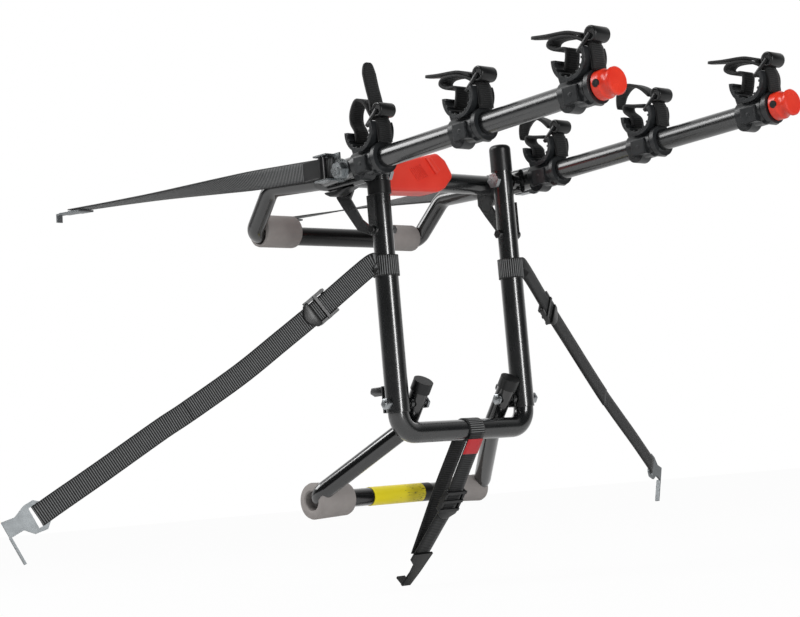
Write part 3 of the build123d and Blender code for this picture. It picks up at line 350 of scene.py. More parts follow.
def foam_roller(name, body, sign, ends_mm, bar_mm, lift_mm, diameters_mm):
    """A spun roller between its outer and inner end, on a bar at (y, z)."""
    x_out, x_in = (mm(x) for x in ends_mm)
    y, z = (mm(c) for c in bar_mm)
    od_out, od_in = (mm(d) for d in diameters_mm)
    rim = mm(3.5)
    bore = BAR_RADIUS + mm(0.2)
    profile = [
        (x_out - mm(14), bore),
        (x_out - mm(1.5), bore + mm(0.5)),
        (x_out, bore + mm(2.2)),
        (x_out, od_out / 2 - rim),
        (x_out - rim * 0.3, od_out / 2 - rim * 0.3),
        (x_out - rim, od_out / 2),
        ((x_out + x_in) / 2, (od_out + od_in) / 4),
        (x_in + rim, od_in / 2),
        (x_in + rim * 0.3, od_in / 2 - rim * 0.3),
        (x_in, od_in / 2 - rim),
        (x_in, bore),
    ]
    bm = bmesh.new()
    verts = [bm.verts.new((sign * x, y, z + radius)) for x, radius in profile]
    edges = [bm.edges.new(pair) for pair in zip(verts, verts[1:])]
    bmesh.ops.spin(
        bm,
        geom=verts + edges,
        cent=(0, y, z),
        axis=(1, 0, 0),
        angle=math.tau,
        steps=ROLLER_STEPS,
        use_merge=True,
    )
    for vert in bm.verts:
        radius = math.hypot(vert.co.y - y, vert.co.z - z)
        share = max(0.0, min(1.0, (radius - bore) / (od_in / 2 - bore)))
        vert.co.z += mm(lift_mm) * share
    bmesh.ops.recalc_face_normals(bm, faces=bm.faces)
    thing = piece(name, bm, eva_foam, body, "foam", name)
    return thing


# %% [markdown]
# The upper rollers are straight, and the lower ones are cut with a slight taper, wider at their
# outer end. The ones on the left are thicker than those on the right.

# %% Four rollers
upper_bar = (201, 269)
lower_bar = (127.7, -71)
rollers = (
    foam_roller("upper_foam_left", "upper_foot", -1, (134, 77), upper_bar, 5, (41, 41)),
    foam_roller("upper_foam_right", "upper_foot", 1, (134, 77), upper_bar, 2.6, (34.8, 34.8)),
    foam_roller("lower_foam_left", "lower_foot", -1, (146, 89), lower_bar, 0, (45, 41)),
    foam_roller("lower_foam_right", "lower_foot", 1, (146, 89), lower_bar, 0, (35, 31)),
)
print("rollers", len(rollers), "of", [len(roller.data.polygons) for roller in rollers], "faces")

# %% [markdown]
# Webbing is a flat polyester weave. Seen close, it has ribs right across it about every 2.7 mm,
# and a smooth edge on both sides. A woven picture could be tiled over it. Here a sine wave along
# the strap draws the ribs, because a piece's UV map in metres lets them follow every bend, at
# their real spacing. The rib tops are bump, and they are also painted a lighter colour, which is a
# painted highlight. The ribbed rubber and the woven label are drawn in the same way.


# %% Woven and ribbed straps
def webbing_material(name, dark, light, rib_mm, width_mm=25.0):
    """Ribs across the strap and two plain edges, from the piece's own UV map; the ribs' light colour
    is a painted highlight.
    """
    edge_inner_mm, edge_outer_mm, fibre_mm, relief_mm = 1.6, 0.9, 0.7, 0.35
    material, tree, output = new_material(name)
    lay = add(tree, "ShaderNodeUVMap", {"uv_map": "weave"})
    parts = add(tree, "ShaderNodeSeparateXYZ", Vector=(lay, "UV"))
    turns = math.tau / mm(rib_mm)
    phase = add(tree, "ShaderNodeMath", {"operation": "MULTIPLY"}, i0=(parts, "X"), i1=turns)
    wave = add(tree, "ShaderNodeMath", {"operation": "SINE"}, i0=(phase, 0))
    rib = add(tree, "ShaderNodeMapRange", Value=(wave, 0), From_Min=-0.2, From_Max=1.0)
    away = add(tree, "ShaderNodeMath", {"operation": "ABSOLUTE"}, i0=(parts, "Y"))
    edge = add(
        tree,
        "ShaderNodeMapRange",
        Value=(away, 0),
        From_Min=mm(width_mm / 2 - edge_inner_mm),
        From_Max=mm(width_mm / 2 - edge_outer_mm),
        To_Min=1.0,
        To_Max=0.15,
    )
    show = add(tree, "ShaderNodeMath", {"operation": "MULTIPLY"}, i0=(rib, 0), i1=(edge, 0))
    fibre = add(tree, "ShaderNodeTexNoise", Vector=(lay, "UV"), Scale=1 / mm(fibre_mm), Detail=3.0)
    painted_rib_highlight = add(tree, "ShaderNodeMath", {"operation": "MULTIPLY"}, i0=(show, 0), i1=(fibre, "Fac"))
    # the rib tops are tinted towards the light colour: a painted highlight on top of the ribs' bump
    tint = add(
        tree,
        "ShaderNodeMix",
        {"data_type": "RGBA"},
        Factor=(painted_rib_highlight, 0),
        A=linear(dark),
        B=linear(light),
    )
    relief = add(tree, "ShaderNodeBump", Strength=0.8, Distance=mm(relief_mm), Height=(show, 0))
    shader = add(
        tree,
        "ShaderNodeBsdfPrincipled",
        Base_Color=(tint, 2),
        Roughness=0.72,
        Sheen_Weight=0.15,
        Sheen_Roughness=0.4,
        Normal=(relief, "Normal"),
    )
    return close(material, tree, output, shader)


# %% [markdown]
# Four straps of this kind: webbing whose raised ribs carry a bright painted highlight, the same
# webbing with that highlight dimmed as painted shade, the ribbed rubber of the cradles, and the
# small red label.

# %% Four strap finishes
# the second colour of each strap finish is a painted highlight on its rib tops
webbing_painted_highlight = webbing_material("black_webbing_painted_highlight", "#060707", "#a4a6a7", 2.7)
# the same webbing with its painted rib highlight dimmed: painted shade, for straps that lie in shade
webbing_painted_shade = webbing_material("black_webbing_painted_shade", "#060707", "#3a3c3e", 2.7)
strap_rubber = webbing_material("ribbed_black_tpr", "#08090a", "#303233", 2.4, width_mm=20.0)
label_red = webbing_material("red_woven_label", "#c9232b", "#e8494e", 0.8)
print("strap finishes", webbing_painted_highlight.name, webbing_painted_shade.name, strap_rubber.name, label_red.name)

# %% [markdown]
# A strap's route is known at a few points. Straight runs between them would show as kinks in
# taut webbing, and a curve object can't turn a flat strap on its own, so a smooth curve is laid
# through the points, and the strap is drawn along it, station by station.


# %% A smooth route
def smooth_route(points, steps):
    """Points on a smooth curve through the given ones, steps for each span."""
    vectors = [Vector(p) for p in points]
    ends = [2 * vectors[0] - vectors[1], *vectors, 2 * vectors[-1] - vectors[-2]]
    route = []
    for a, b, c, d in zip(ends, ends[1:], ends[2:], ends[3:]):
        for step in range(steps):
            t = step / steps
            bend = (2 * a - 5 * b + 4 * c - d) * t * t + (3 * b - a - 3 * c + d) * t * t * t
            route.append(0.5 * (2 * b + (c - a) * t + bend))
    route.append(vectors[-1])
    return route


# %% [markdown]
# Each station has a centre and a direction across the strap. One edge is extruded from station to
# station, which is how webbing is laid by hand, and a Solidify modifier gives it its thickness.
# The same steps fill the UV map: metres along the strap and metres across it.


# %% Extrude a strap along its stations
def band(name, stations, thickness, material, body, slot, *stands_for, cuts=3):
    """A strap through stations of (centre, half width vector)."""
    bm = bmesh.new()
    share = bm.verts.layers.float.new("share")
    metre = bm.verts.layers.float.new("metre")
    centre, half = stations[0]
    row = [bm.edges.new((bm.verts.new(centre - half), bm.verts.new(centre + half)))]
    bmesh.ops.subdivide_edges(bm, edges=row, cuts=cuts)
    row = list(bm.edges)
    for vert in bm.verts:
        vert[share] = (vert.co - centre).dot(half) / half.length_squared
    travelled = 0.0
    before = centre
    for centre, half in stations[1:]:
        travelled += (centre - before).length
        before = centre
        made = bmesh.ops.extrude_edge_only(bm, edges=row)["geom"]
        row = [e for e in made if isinstance(e, bmesh.types.BMEdge)]
        for vert in (v for v in made if isinstance(v, bmesh.types.BMVert)):
            vert.co = centre + half * vert[share]
            vert[metre] = travelled
    weave = bm.loops.layers.uv.new("weave")
    half_width = stations[0][1].length
    for face in bm.faces:
        for loop in face.loops:
            loop[weave].uv = (loop.vert[metre], loop.vert[share] * half_width)
    bmesh.ops.recalc_face_normals(bm, faces=bm.faces)
    thing = piece(name, bm, material, body, slot, *stands_for, smooth=60)
    solid = thing.modifiers.new("thickness", "SOLIDIFY")
    solid.thickness = thickness
    solid.offset = 0
    return thing


# %% [markdown]
# Taut webbing stands on edge where a buckle or a leg holds it so, and can twist on its way to its
# hook. The twist could be modelled by turning the finished mesh, but given as an angle at each
# point of the route it comes out smooth by itself.

# %% Stations that turn along the way
STEPS_PER_SPAN = 10


def turned_stations(points, turns, half_width):
    """Stations along a route; a turn of 0 stands the strap on edge."""
    route = smooth_route(points, STEPS_PER_SPAN)
    angles = smooth_route([(turn, 0, 0) for turn in turns], STEPS_PER_SPAN)
    stations = []
    for index, centre in enumerate(route):
        ahead = (route[min(index + 1, len(route) - 1)] - route[max(index - 1, 0)]).normalized()
        across = (Vector((0, 0, 1)) - ahead * ahead.z).normalized()
        across.rotate(Matrix.Rotation(math.radians(angles[index].x), 3, ahead))
        stations.append((centre, across * half_width))
    return stations


# %% [markdown]
# A side strap starts as a turn of webbing round each leg's sleeve. It could be a ring, but a strap
# laid round a circle of stations shows its weave, as the other straps do.

# %% The turns round the sleeves
SIDES = (("left", -1), ("right", 1))
WEBBING_HALF = mm(12.5)
WEBBING_THICK = mm(1.6)
LEG_X = 108
SLEEVE_TURN_Z = mm(200.5)
sleeve_turn_r = mm(15.2)
seam_angle = 20
turn_steps = 48
for side, sign in SIDES:
    ring = []
    for step in range(turn_steps + 1):
        angle = math.radians(seam_angle + step * 360 / turn_steps)
        x = mm(LEG_X) + sleeve_turn_r * math.cos(angle)
        centre = Vector((sign * x, sleeve_turn_r * math.sin(angle), SLEEVE_TURN_Z))
        ring.append((centre, Vector((0, 0, WEBBING_HALF))))
    band(f"side_strap_turn_{side}", ring, WEBBING_THICK, webbing_painted_highlight, "frame", "webbing")
print("turn length in mm", round(math.tau * sleeve_turn_r * 1000, 1))

# %% [markdown]
# From the sleeve, the strap runs doubled to the step where its free end is sewn down, and then
# single to the steel hook. It sags a little differently on the two sides, so each has its own
# route. The doubled part is a thicker band over the same stations, which is what it looks like:
# the two layers lie flat on each other.

# %% Side straps
DOUBLED_THICK = mm(3.4)
side_routes = {
    "left": (
        (123.2, 0, 200.5),
        (134.0, 0, 200.2),
        (195.5, 23.3, 153.0),
        (246.6, 42.0, 115.5),
        (294.9, 60.1, 80.5),
        (355.8, 83.0, 42.0),
        (388.0, 95.0, 23.0),
        (455.4, 120.0, -19.5),
        (499.3, 136.4, -46.5),
        (524.0, 145.6, -62.0),
    ),
    "right": (
        (123.2, 0, 200.5),
        (134.0, 0, 200.2),
        (192.0, 22.0, 158.0),
        (231.1, 36.2, 130.0),
        (274.4, 52.4, 99.5),
        (318.9, 69.0, 68.0),
        (364.8, 86.2, 37.0),
        (412.8, 104.1, 7.5),
        (463.2, 122.9, -23.0),
        (524.0, 145.6, -62.0),
    ),
}
doubled_spans = {"left": 5, "right": 6}
for side, sign in SIDES:
    route = [(sign * mm(x), mm(y), mm(z)) for x, y, z in side_routes[side]]
    single = turned_stations(route, [0] * len(route), WEBBING_HALF)
    doubled = single[: STEPS_PER_SPAN * doubled_spans[side] + 1]
    # the right strap lies in shade, so it takes the webbing whose painted highlight is dimmed as
    # painted shade
    weave = webbing_painted_highlight if side == "left" else webbing_painted_shade
    band(f"side_strap_doubled_{side}", doubled, DOUBLED_THICK, weave, "frame", "webbing")
    name = f"side_strap_{side}"
    band(name, single, WEBBING_THICK, weave, "frame", "webbing", name)
    print("side strap", side, "stations", len(single), "doubled", len(doubled))

# %% [markdown]
# The upper straps hold the top of the rack to the trunk lid's edge. They stand on edge in the cam
# buckle and lie flat at their hook, a quarter turn apart. They are pulled tight, so the route is a
# straight line and only the turn changes along it.

# %% Upper straps
buckle_exit = (169.0, 12, 319.2)
hook_slot = (187.5, 526, 352.6)
way_shares = (0.0, 0.2, 0.38, 0.6, 0.8, 1.0)
way_turns = (0, 10, 45, 72, 84, 90)
for side, sign in SIDES:
    start, end = (Vector((sign * mm(x), mm(y), mm(z))) for x, y, z in (buckle_exit, hook_slot))
    points = [start.lerp(end, share) for share in way_shares]
    stations = turned_stations(points, [sign * turn for turn in way_turns], WEBBING_HALF)
    name = f"upper_strap_{side}"
    band(name, stations, WEBBING_THICK, webbing_painted_highlight, "frame", "webbing", name)
print("upper strap length in mm", round((end - start).length * 1000))

# %% [markdown]
# The bottom strap hangs from the bottom bar: a turn round the bar, a front run through the buckle
# to the hook, and a back run. All of it lies across X, so its routes are drawn in one plane,
# as (y, z) in millimetres, and its width is always along X.

# %% Bottom strap and its tag
BOTTOM_STRAP_X = mm(8.8)
TAG_THICK = mm(0.8)
bar_turn_r = mm(13.6)
width_along_x = Vector((WEBBING_HALF, 0, 0))
bar_turn = []
for degrees in range(0, 361, 10):
    angle = math.radians(degrees)
    spot = Vector((BOTTOM_STRAP_X, bar_turn_r * math.cos(angle), bar_turn_r * math.sin(angle)))
    bar_turn.append((spot, width_along_x))
band("bottom_strap_turn", bar_turn, WEBBING_THICK, webbing_painted_highlight, "frame", "webbing")


def bottom_stations(points):
    """Stations of a run in the plane of the bottom strap, from (y, z) in millimetres."""
    route = smooth_route([(BOTTOM_STRAP_X, mm(y), mm(z)) for y, z in points], 6)
    return [(centre, width_along_x) for centre in route]


front = [(-13.5, -4.9), (-8.9, -11.3), (16, -46.4), (42.6, -84), (75, -117.2), (107, -150)]
back = [(13.9, -3.7), (28, -23.7), (58, -66), (84, -106.3), (110.2, -146.8)]
tag = [(-9.4, -12.6), (-3, -21.6), (2.9, -29.9)]
name = "bottom_strap"
# the bottom strap lies in shade and takes the webbing with painted shade
band(name, bottom_stations(front), WEBBING_THICK, webbing_painted_shade, "frame", "webbing", name)
band("bottom_strap_back", bottom_stations(back), WEBBING_THICK, webbing_painted_shade, "frame", "webbing")
band("strap_tag", bottom_stations(tag), TAG_THICK, label_red, "frame", "red_label", "strap_tag")
print("bottom strap runs", len(front), len(back), "points")

# %% [markdown]
# Cradles, rubber straps and end caps sit on the two arms, which rise slightly to their tips. Their
# places could be worked out in X, Y and Z, but they are easier to draw in the arm's own side plane:
# u towards the tip and v up, in millimetres from the middle of one of the cradles.

# %% The arms' side planes
ARM_X, HUB_Z = 152.6, 317
FIRST_CRADLE, CRADLE_PITCH = 37, 166.6
arm_rise = math.radians(2.2)
arm_along = Vector((0, -math.cos(arm_rise), math.sin(arm_rise)))
arm_up = Vector((0, math.sin(arm_rise), math.cos(arm_rise)))
arm_axes = Matrix((Vector((1, 0, 0)), arm_along, arm_up)).transposed().to_4x4()
across_turn = Matrix.Rotation(math.pi / 2, 4, "Y")


def arm_place(sign, number, u, v, shift=0.0):
    """A point of an arm's side plane, from the middle of one of its cradles."""
    hub = Vector((sign * mm(ARM_X) + mm(shift), 0, mm(HUB_Z)))
    return hub + arm_along * mm(FIRST_CRADLE + CRADLE_PITCH * (number - 1) + u) + arm_up * mm(v)


print("left arm's last cradle", [round(c, 3) for c in arm_place(-1, 3, 0, 0)])

# %% [markdown]
# Bolts, pins and rolls are round and lie across the rack, along X. A cone shape from bmesh with
# equal radii is such a bar, turned on its side. Sharp edges look like paper models, so one more
# function rounds edges with a bevel.


# %% Round bars and rounded edges
def round_edges(bm, edges, offset_mm, segments):
    """Bevels edges."""
    bmesh.ops.bevel(
        bm,
        geom=list(edges),
        offset=mm(offset_mm),
        segments=segments,
        profile=0.5,
        affect="EDGES",
        material=-1,
    )


def edges_of(verts):
    """All edges that meet the given points."""
    return {edge for vert in verts for edge in vert.link_edges}


def cross_bar(bm, place, radius_mm, depth_mm, segments, tip_mm=None, turn=across_turn):
    """A round bar along X with its middle at a place; returns its points."""
    made = bmesh.ops.create_cone(
        bm,
        cap_ends=True,
        segments=segments,
        radius1=mm(radius_mm),
        radius2=mm(radius_mm if tip_mm is None else tip_mm),
        depth=mm(depth_mm),
        matrix=Matrix.Translation(place) @ turn,
    )
    return made["verts"]


# %% [markdown]
# A bicycle is held down by a rubber strap over its tube. It was moulded in one piece and takes
# whatever bend it was left in: one stands upright, two are arched, and the others are folded over.
# Each form has its own routes for the inner band and for the tail. A cloth simulation could drop
# them, but rubber straps are stiff and keep their set, so the routes are drawn as they are seen.

# %% Routes of the rubber straps
FOLDED_START = ((-9.7, 25.6), (-5, 41), (-6.5, 48.5), (-20, 50.5), (-29.5, 57.5))
inner_bands = {
    "folded": (*FOLDED_START, (-22, 63), (0, 60), (18, 51.5), (22.5, 45)),
    "upright": (
        *((-9.7, 25.6), (-10.5, 38), (-16, 50), (-14, 63)),
        *((-4, 74), (9, 68), (17.5, 52.5), (22.5, 45)),
    ),
    "arched": ((-9.7, 25.6), (-11, 36), (-20, 45.5), (-19, 52.5), (-5, 49.5), (12.5, 45.8)),
}
tails = {
    "folded": ((19, 56), (0, 64.5), (-31, 68.8), (-57, 73.9)),
    "upright": ((20.3, 56), (19.9, 68), (16.4, 86), (14, 104), (14, 115.8)),
    "arched": ((20.3, 56), (7, 69), (-12, 77), (-27, 70), (-34, 52)),
}
outer_band = ((29.1, 17), (29.3, 30), (28.6, 41), (25.5, 47.0), (25.0, 53))
forms = {"left": ("upright", "folded", "folded"), "right": ("arched", "arched", "folded")}
cradles = [(side, sign, number) for side, sign in SIDES for number in (1, 2, 3)]
print("forms", forms)

# %% [markdown]
# The bands are 20 mm wide. The tail, which is the tab that a thumb pulls, narrows to a rounded
# tip over its last stations, as a half ellipse would.

# %% Bands and tails
STRAP_HALF = mm(10)
BAND_THICK, TAIL_THICK = mm(3.4), mm(3.2)
TIP_SHARE = 0.35  # how much of the width is left at the very tip


def side_stations(sign, number, points, steps, tip=0):
    """Stations of a band in an arm's side plane; tip narrows its last stations."""
    route = smooth_route([(u, v, 0) for u, v in points], steps)
    stations = []
    for index, point in enumerate(route):
        left = len(route) - 1 - index
        width = STRAP_HALF
        if left < tip:
            width = STRAP_HALF * (TIP_SHARE + (1 - TIP_SHARE) * math.sqrt(left / tip))
        stations.append((arm_place(sign, number, point.x, point.y), Vector((width, 0, 0))))
    return stations


for side, sign, number in cradles:
    form = forms[side][number - 1]
    label = f"{side}_{number}"
    rows = (
        ("outer", side_stations(sign, number, outer_band, 5), BAND_THICK),
        ("inner", side_stations(sign, number, inner_bands[form], 5), BAND_THICK),
        ("tail", side_stations(sign, number, tails[form], 7, tip=8), TAIL_THICK),
    )
    for part, stations, thick in rows:
        place = (f"carry_arm_{side}", "strap_rubber", f"cradle_strap_{label}")
        band(f"strap_{part}_{label}", stations, thick, strap_rubber, *place)
print("rubber bands", 3 * len(cradles))

# %% [markdown]
# At its top, the outer band ends in a thick roll, which keeps it from slipping out of its frame.
# It could be a plain cylinder, but its ends are dished and their rims soft. So the end faces of a
# round bar are inset, the outer rims bevelled, and the inner faces pushed in.

# %% The rolls
DISH_DEPTH = mm(-1.6)
SHORT_EDGE = mm(2)  # the rims are made of short edges, the sides and insets of longer ones
SHARP_ANGLE = 1.0  # in radians
for side, sign, number in cradles:
    bm = bmesh.new()
    cross_bar(bm, arm_place(sign, number, 32.2, 54.5), 8.6, 25, 40)
    caps = [face for face in bm.faces if len(face.verts) > 4]
    bmesh.ops.inset_individual(bm, faces=caps, thickness=mm(3.2))
    short = [edge for edge in bm.edges if edge.calc_length() < SHORT_EDGE]
    rims = [edge for edge in short if edge.calc_face_angle(0) > SHARP_ANGLE]
    round_edges(bm, rims, 1.8, 3)
    for cap in caps:
        bmesh.ops.translate(bm, verts=cap.verts, vec=cap.normal.copy() * DISH_DEPTH)
    label = f"{side}_{number}"
    place = (f"carry_arm_{side}", "strap_rubber", f"cradle_strap_{label}")
    roll = piece(f"strap_roll_{label}", bm, buckle_plastic, *place)
print("roll's faces", len(roll.data.polygons))

# %% [markdown]
# A small moulded frame joins the bands: two rails, one each side of the strap, and two bars
# between them. It could be one outline with two holes, but its bars are round and its rails are
# flat, so the rails are boxes with rounded edges, laid along the line between the bars.

# %% The strap frames
far_bar = Vector((30.6, 53.0))
near_bar = Vector((14.05, 40.07))
rail_shift = 11.8
rail_size = Matrix.Diagonal((mm(3), mm(26), mm(5), 1))
rail_middle = (far_bar + near_bar) / 2
rail_lean = Matrix.Rotation(math.atan2(far_bar.y - near_bar.y, far_bar.x - near_bar.x), 4, "X")
for side, sign, number in cradles:
    bm = bmesh.new()
    for face_sign in (-1, 1):
        middle = arm_place(sign, number, rail_middle.x, rail_middle.y, face_sign * rail_shift)
        place = Matrix.Translation(middle) @ arm_axes @ rail_lean @ rail_size
        made = bmesh.ops.create_cube(bm, size=1, matrix=place)
        round_edges(bm, edges_of(made["verts"]), 1.2, 2)
    for bar, radius in ((far_bar, 3.0), (near_bar, 2.5)):
        cross_bar(bm, arm_place(sign, number, bar.x, bar.y), radius, 21, 20)
    label = f"{side}_{number}"
    place = (f"carry_arm_{side}", "strap_rubber", f"cradle_strap_{label}")
    link = piece(f"strap_frame_{label}", bm, buckle_plastic, *place)
print("strap frame's faces", len(link.data.polygons))

# %% [markdown]
# Some moulded and pressed parts have more form than their plain solids. They are mostly flat
# shapes with a thickness, so one function extrudes an outline and rounds its edges, which then
# catch the light.


# %% An extruded outline
def outline_block(bm, outline, start, depth, edge_mm, segments=3):
    """Extrudes a face through (x, y, z) points in millimetres along a vector, with soft edges."""
    verts = [bm.verts.new([mm(c) for c in point]) for point in outline]
    face = bm.faces.new(verts)
    bmesh.ops.translate(bm, verts=verts, vec=[mm(c) for c in start])
    made = bmesh.ops.extrude_face_region(bm, geom=[face], use_keep_orig=True)["geom"]
    moved = [v for v in made if isinstance(v, bmesh.types.BMVert)]
    bmesh.ops.translate(bm, verts=moved, vec=[mm(c) for c in depth])
    if edge_mm:
        round_edges(bm, edges_of(verts + moved), edge_mm, segments)
    bmesh.ops.recalc_face_normals(bm, faces=bm.faces)


# %% [markdown]
# The release handle is the red grip on the crossbar that frees the arms. It is a wedge with large
# soft corners. It could be sculpted from a box, but its outline is seen square on from the bicycles'
# side, so that outline is extruded towards the car and well rounded.

# %% The release grip
grip = (
    (-70.0, 0, 299.0),
    (-50.0, 0, 298.6),
    (19.3, 0, 300.5),
    (30.2, 0, 305.0),
    (46.0, 0, 320.5),
    (44.0, 0, 327.0),
    (35.0, 0, 341.9),
    (22.0, 0, 350.6),
    (0.0, 0, 345.8),
    (-24.0, 0, 340.0),
    (-54.3, 0, 333.3),
    (-67.1, 0, 323.9),
)
bm = bmesh.new()
outline_block(bm, grip, (0, 25, 0), (0, 38, 0), 4.5, 4)
thing = piece("release_grip", bm, handle_plastic, "release_yoke", "red_plastic", "release_handle")
print("grip's faces", len(thing.data.polygons))

# %% [markdown]
# Its front has a raised rib for the fingers, and a pad of fine slanted bars for the thumb. They
# could be bump, but they stand proud by millimetres and cast small shadows, so they are solid.

# %% The grip's rib and thumb pad
rib = ((-3.0, 0, 342.5), (5.5, 0, 344.5), (20.5, 0, 327.5), (13.5, 0, 321.5))
bm = bmesh.new()
outline_block(bm, rib, (0, 21.5, 0), (0, 8, 0), 1.8, 3)
piece("release_grip_rib", bm, handle_plastic, "release_yoke", "red_plastic")

pad_bar = ((-31.0, 327.5), (-29.4, 328.0), (-16.5, 313.5), (-18.1, 313.0))
pad_bars, pad_pitch, pad_slope = 7, 3.0, 0.33
bm = bmesh.new()
for step in range(pad_bars):
    shift = step * pad_pitch
    bar = [(x + shift, 0, z + shift * pad_slope) for x, z in pad_bar]
    outline_block(bm, bar, (0, 24.2, 0), (0, 2, 0), 0)
piece("release_grip_pad", bm, handle_plastic, "release_yoke", "red_plastic")
print("pad bars", pad_bars)

# %% [markdown]
# Behind each sleeve, a bent plate stops the lower foot from swinging too far. It is pressed from
# 2.5 mm steel: a tab towards the car, a flange against the sleeve, a cheek for the bolt and a web
# between. Four outlines are extruded into one piece, as the real one is folded from one sheet.

# %% Stop brackets
tab = ((0, 14.6, 58), (0, 42.5, 58), (0, 45, 54), (0, 45, 51), (0, 38, 47), (0, 14.6, 47))
flange = ((-9, 0, 25.5), (9, 0, 25.5), (9, 0, 58), (-9, 0, 58))
cheek = ((0, -2, 25.5), (0, 17, 25.5), (0, 17, 58), (0, -2, 58))
web = ((0, 14.5, 25.5), (0, 17, 25.5), (0, 17, 58), (0, 14.5, 58))
for side, sign in SIDES:
    bm = bmesh.new()
    outline_block(bm, tab, (sign * LEG_X - 1.5, 0, 0), (3, 0, 0), 0.6, 2)
    outline_block(bm, flange, (sign * LEG_X, 14.5, 0), (0, 2.6, 0), 0.6, 2)
    outline_block(bm, cheek, (sign * 92.0 - 1.2, 0, 0), (2.4, 0, 0), 0.6, 2)
    outline_block(bm, web, (sign * 91, 0, 0), (sign * 9, 0, 0), 0)
    place = ("frame", "frame_paint", f"foot_bracket_{side}")
    bracket = piece(f"stop_bracket_{side}", bm, powder_coat, *place)
print("stop bracket's faces", len(bracket.data.polygons))

# %% [markdown]
# The lower foot swings on a bolt through each leg: a hexagonal nut outside with the bolt's end
# in it, a hexagonal head inside, and between them the shank and a spacer under the coat. Six
# segments make a hexagon of a round bar.

# %% Bolts of the lower foot
PIVOT_Z = mm(35.5)
nut_sides, round_sides = 6, 24
bolt_bars = (  # x, radius, tip radius, depth, segments
    (125.6, 7.5, 7.5, 6.4, nut_sides),
    (129.6, 4.0, 3.0, 1.6, round_sides),
    (62.2, 7.5, 7.5, 3.4, nut_sides),
)
spacer_bars = ((94.0, 4.0, 60.0), (88.5, 7.0, 4.4))  # x, radius, depth
for side, sign in SIDES:
    outward = Matrix.Rotation(sign * math.pi / 2, 4, "Y")
    bm = bmesh.new()
    for x, radius, tip, depth, segments in bolt_bars:
        verts = cross_bar(bm, (sign * mm(x), 0, PIVOT_Z), radius, depth, segments, tip, outward)
        if segments == nut_sides:
            round_edges(bm, edges_of(verts), 0.8, 2)
    piece(f"lower_bolt_{side}", bm, zinc_steel, "frame", "zinc_steel", "lower_pivot_bolts")
    bm = bmesh.new()
    for x, radius, depth in spacer_bars:
        cross_bar(bm, (sign * mm(x), 0, PIVOT_Z), radius, depth, round_sides)
    piece(f"lower_spacer_{side}", bm, powder_coat, "frame", "zinc_steel", "lower_pivot_bolts")
print("lower bolts", 2, "with", len(bolt_bars) + len(spacer_bars), "bars each")

# %% [markdown]
# Under each ear of the upper foot sits the yoke's end block, a rounded wedge of black plastic
# that the foot rests on. Its section is the same all the way across, so its side outline is
# extruded, which is simpler than bending a box into shape.

# %% End wedges of the yoke
wedge = ((0, 13, 298.6), (0, 24, 296), (0, 41, 291.5), (0, 52, 292), (0, 60, 296), (0, 62, 298.6))
for side, sign in SIDES:
    bm = bmesh.new()
    outline_block(bm, wedge, (sign * 125.2, 0, 0), (sign * 17.5, 0, 0), 1.5, 3)
    place = ("release_yoke", "black_plastic", "yoke_end_blocks")
    block = piece(f"end_wedge_{side}", bm, cap_plastic, *place)
print("end wedge's faces", len(block.data.polygons))

# %% [markdown]
# Both sides of every cradle have a square panel with a raised rim and a screw in the middle. The
# panel is a thin box: its outer face is inset twice, the second time downwards, and the rim's
# edges are rounded.

# %% Panel rims of the cradles
panel_size = Matrix.Diagonal((mm(2.6), mm(19), mm(18), 1))
panel_shift, screw_shift, panel_v = 16.9, 17.4, -4
for side, sign, number in cradles:
    bm = bmesh.new()
    for face_sign in (-1, 1):
        middle = arm_place(sign, number, 0, panel_v, face_sign * panel_shift)
        place = Matrix.Translation(middle) @ arm_axes @ panel_size
        made = bmesh.ops.create_cube(bm, size=1, matrix=place)
        sides = {face for vert in made["verts"] for face in vert.link_faces}
        outer = max(sides, key=lambda face: face.normal.x * face_sign)
        rim = list(outer.edges)
        bmesh.ops.inset_individual(bm, faces=[outer], thickness=mm(3.2))
        bmesh.ops.inset_individual(bm, faces=[outer], thickness=mm(0.8), depth=mm(-1.8))
        round_edges(bm, rim, 1.1, 3)
        cross_bar(bm, arm_place(sign, number, 0, panel_v, face_sign * screw_shift), 2.2, 2.0, 16)
    bmesh.ops.recalc_face_normals(bm, faces=bm.faces)
    name = f"panel_rim_{side}_{number}"
    piece(name, bm, cradle_plastic, f"carry_arm_{side}", "dark_grey_plastic")
print("panel rims", 2 * len(cradles))

# %% [markdown]
# The red end caps are held by a dark screw from each side, sunk in its hole. A whole screw with a
# thread could be modelled, but only the head is seen, so it is a short bar.

# %% Screws of the end caps
CAP_SCREW_U = 368.2
for side, sign in SIDES:
    bm = bmesh.new()
    for face_sign in (-1, 1):
        cross_bar(bm, arm_place(sign, 1, CAP_SCREW_U, 0, face_sign * 15.0), 4.4, 2.6, 24)
    screws = piece(f"cap_screws_{side}", bm, buckle_plastic, f"carry_arm_{side}", "black_plastic")
print("cap screws' faces", len(screws.data.polygons))

# %% [markdown]
# A ladder lock is the buckle that a strap is pulled tight through, and a rounded tongue on it
# frees the strap. Each tongue lies in its lock's own plane, so its outline is drawn as (u, v)
# along and across the strap and turned into place, which serves all three locks.

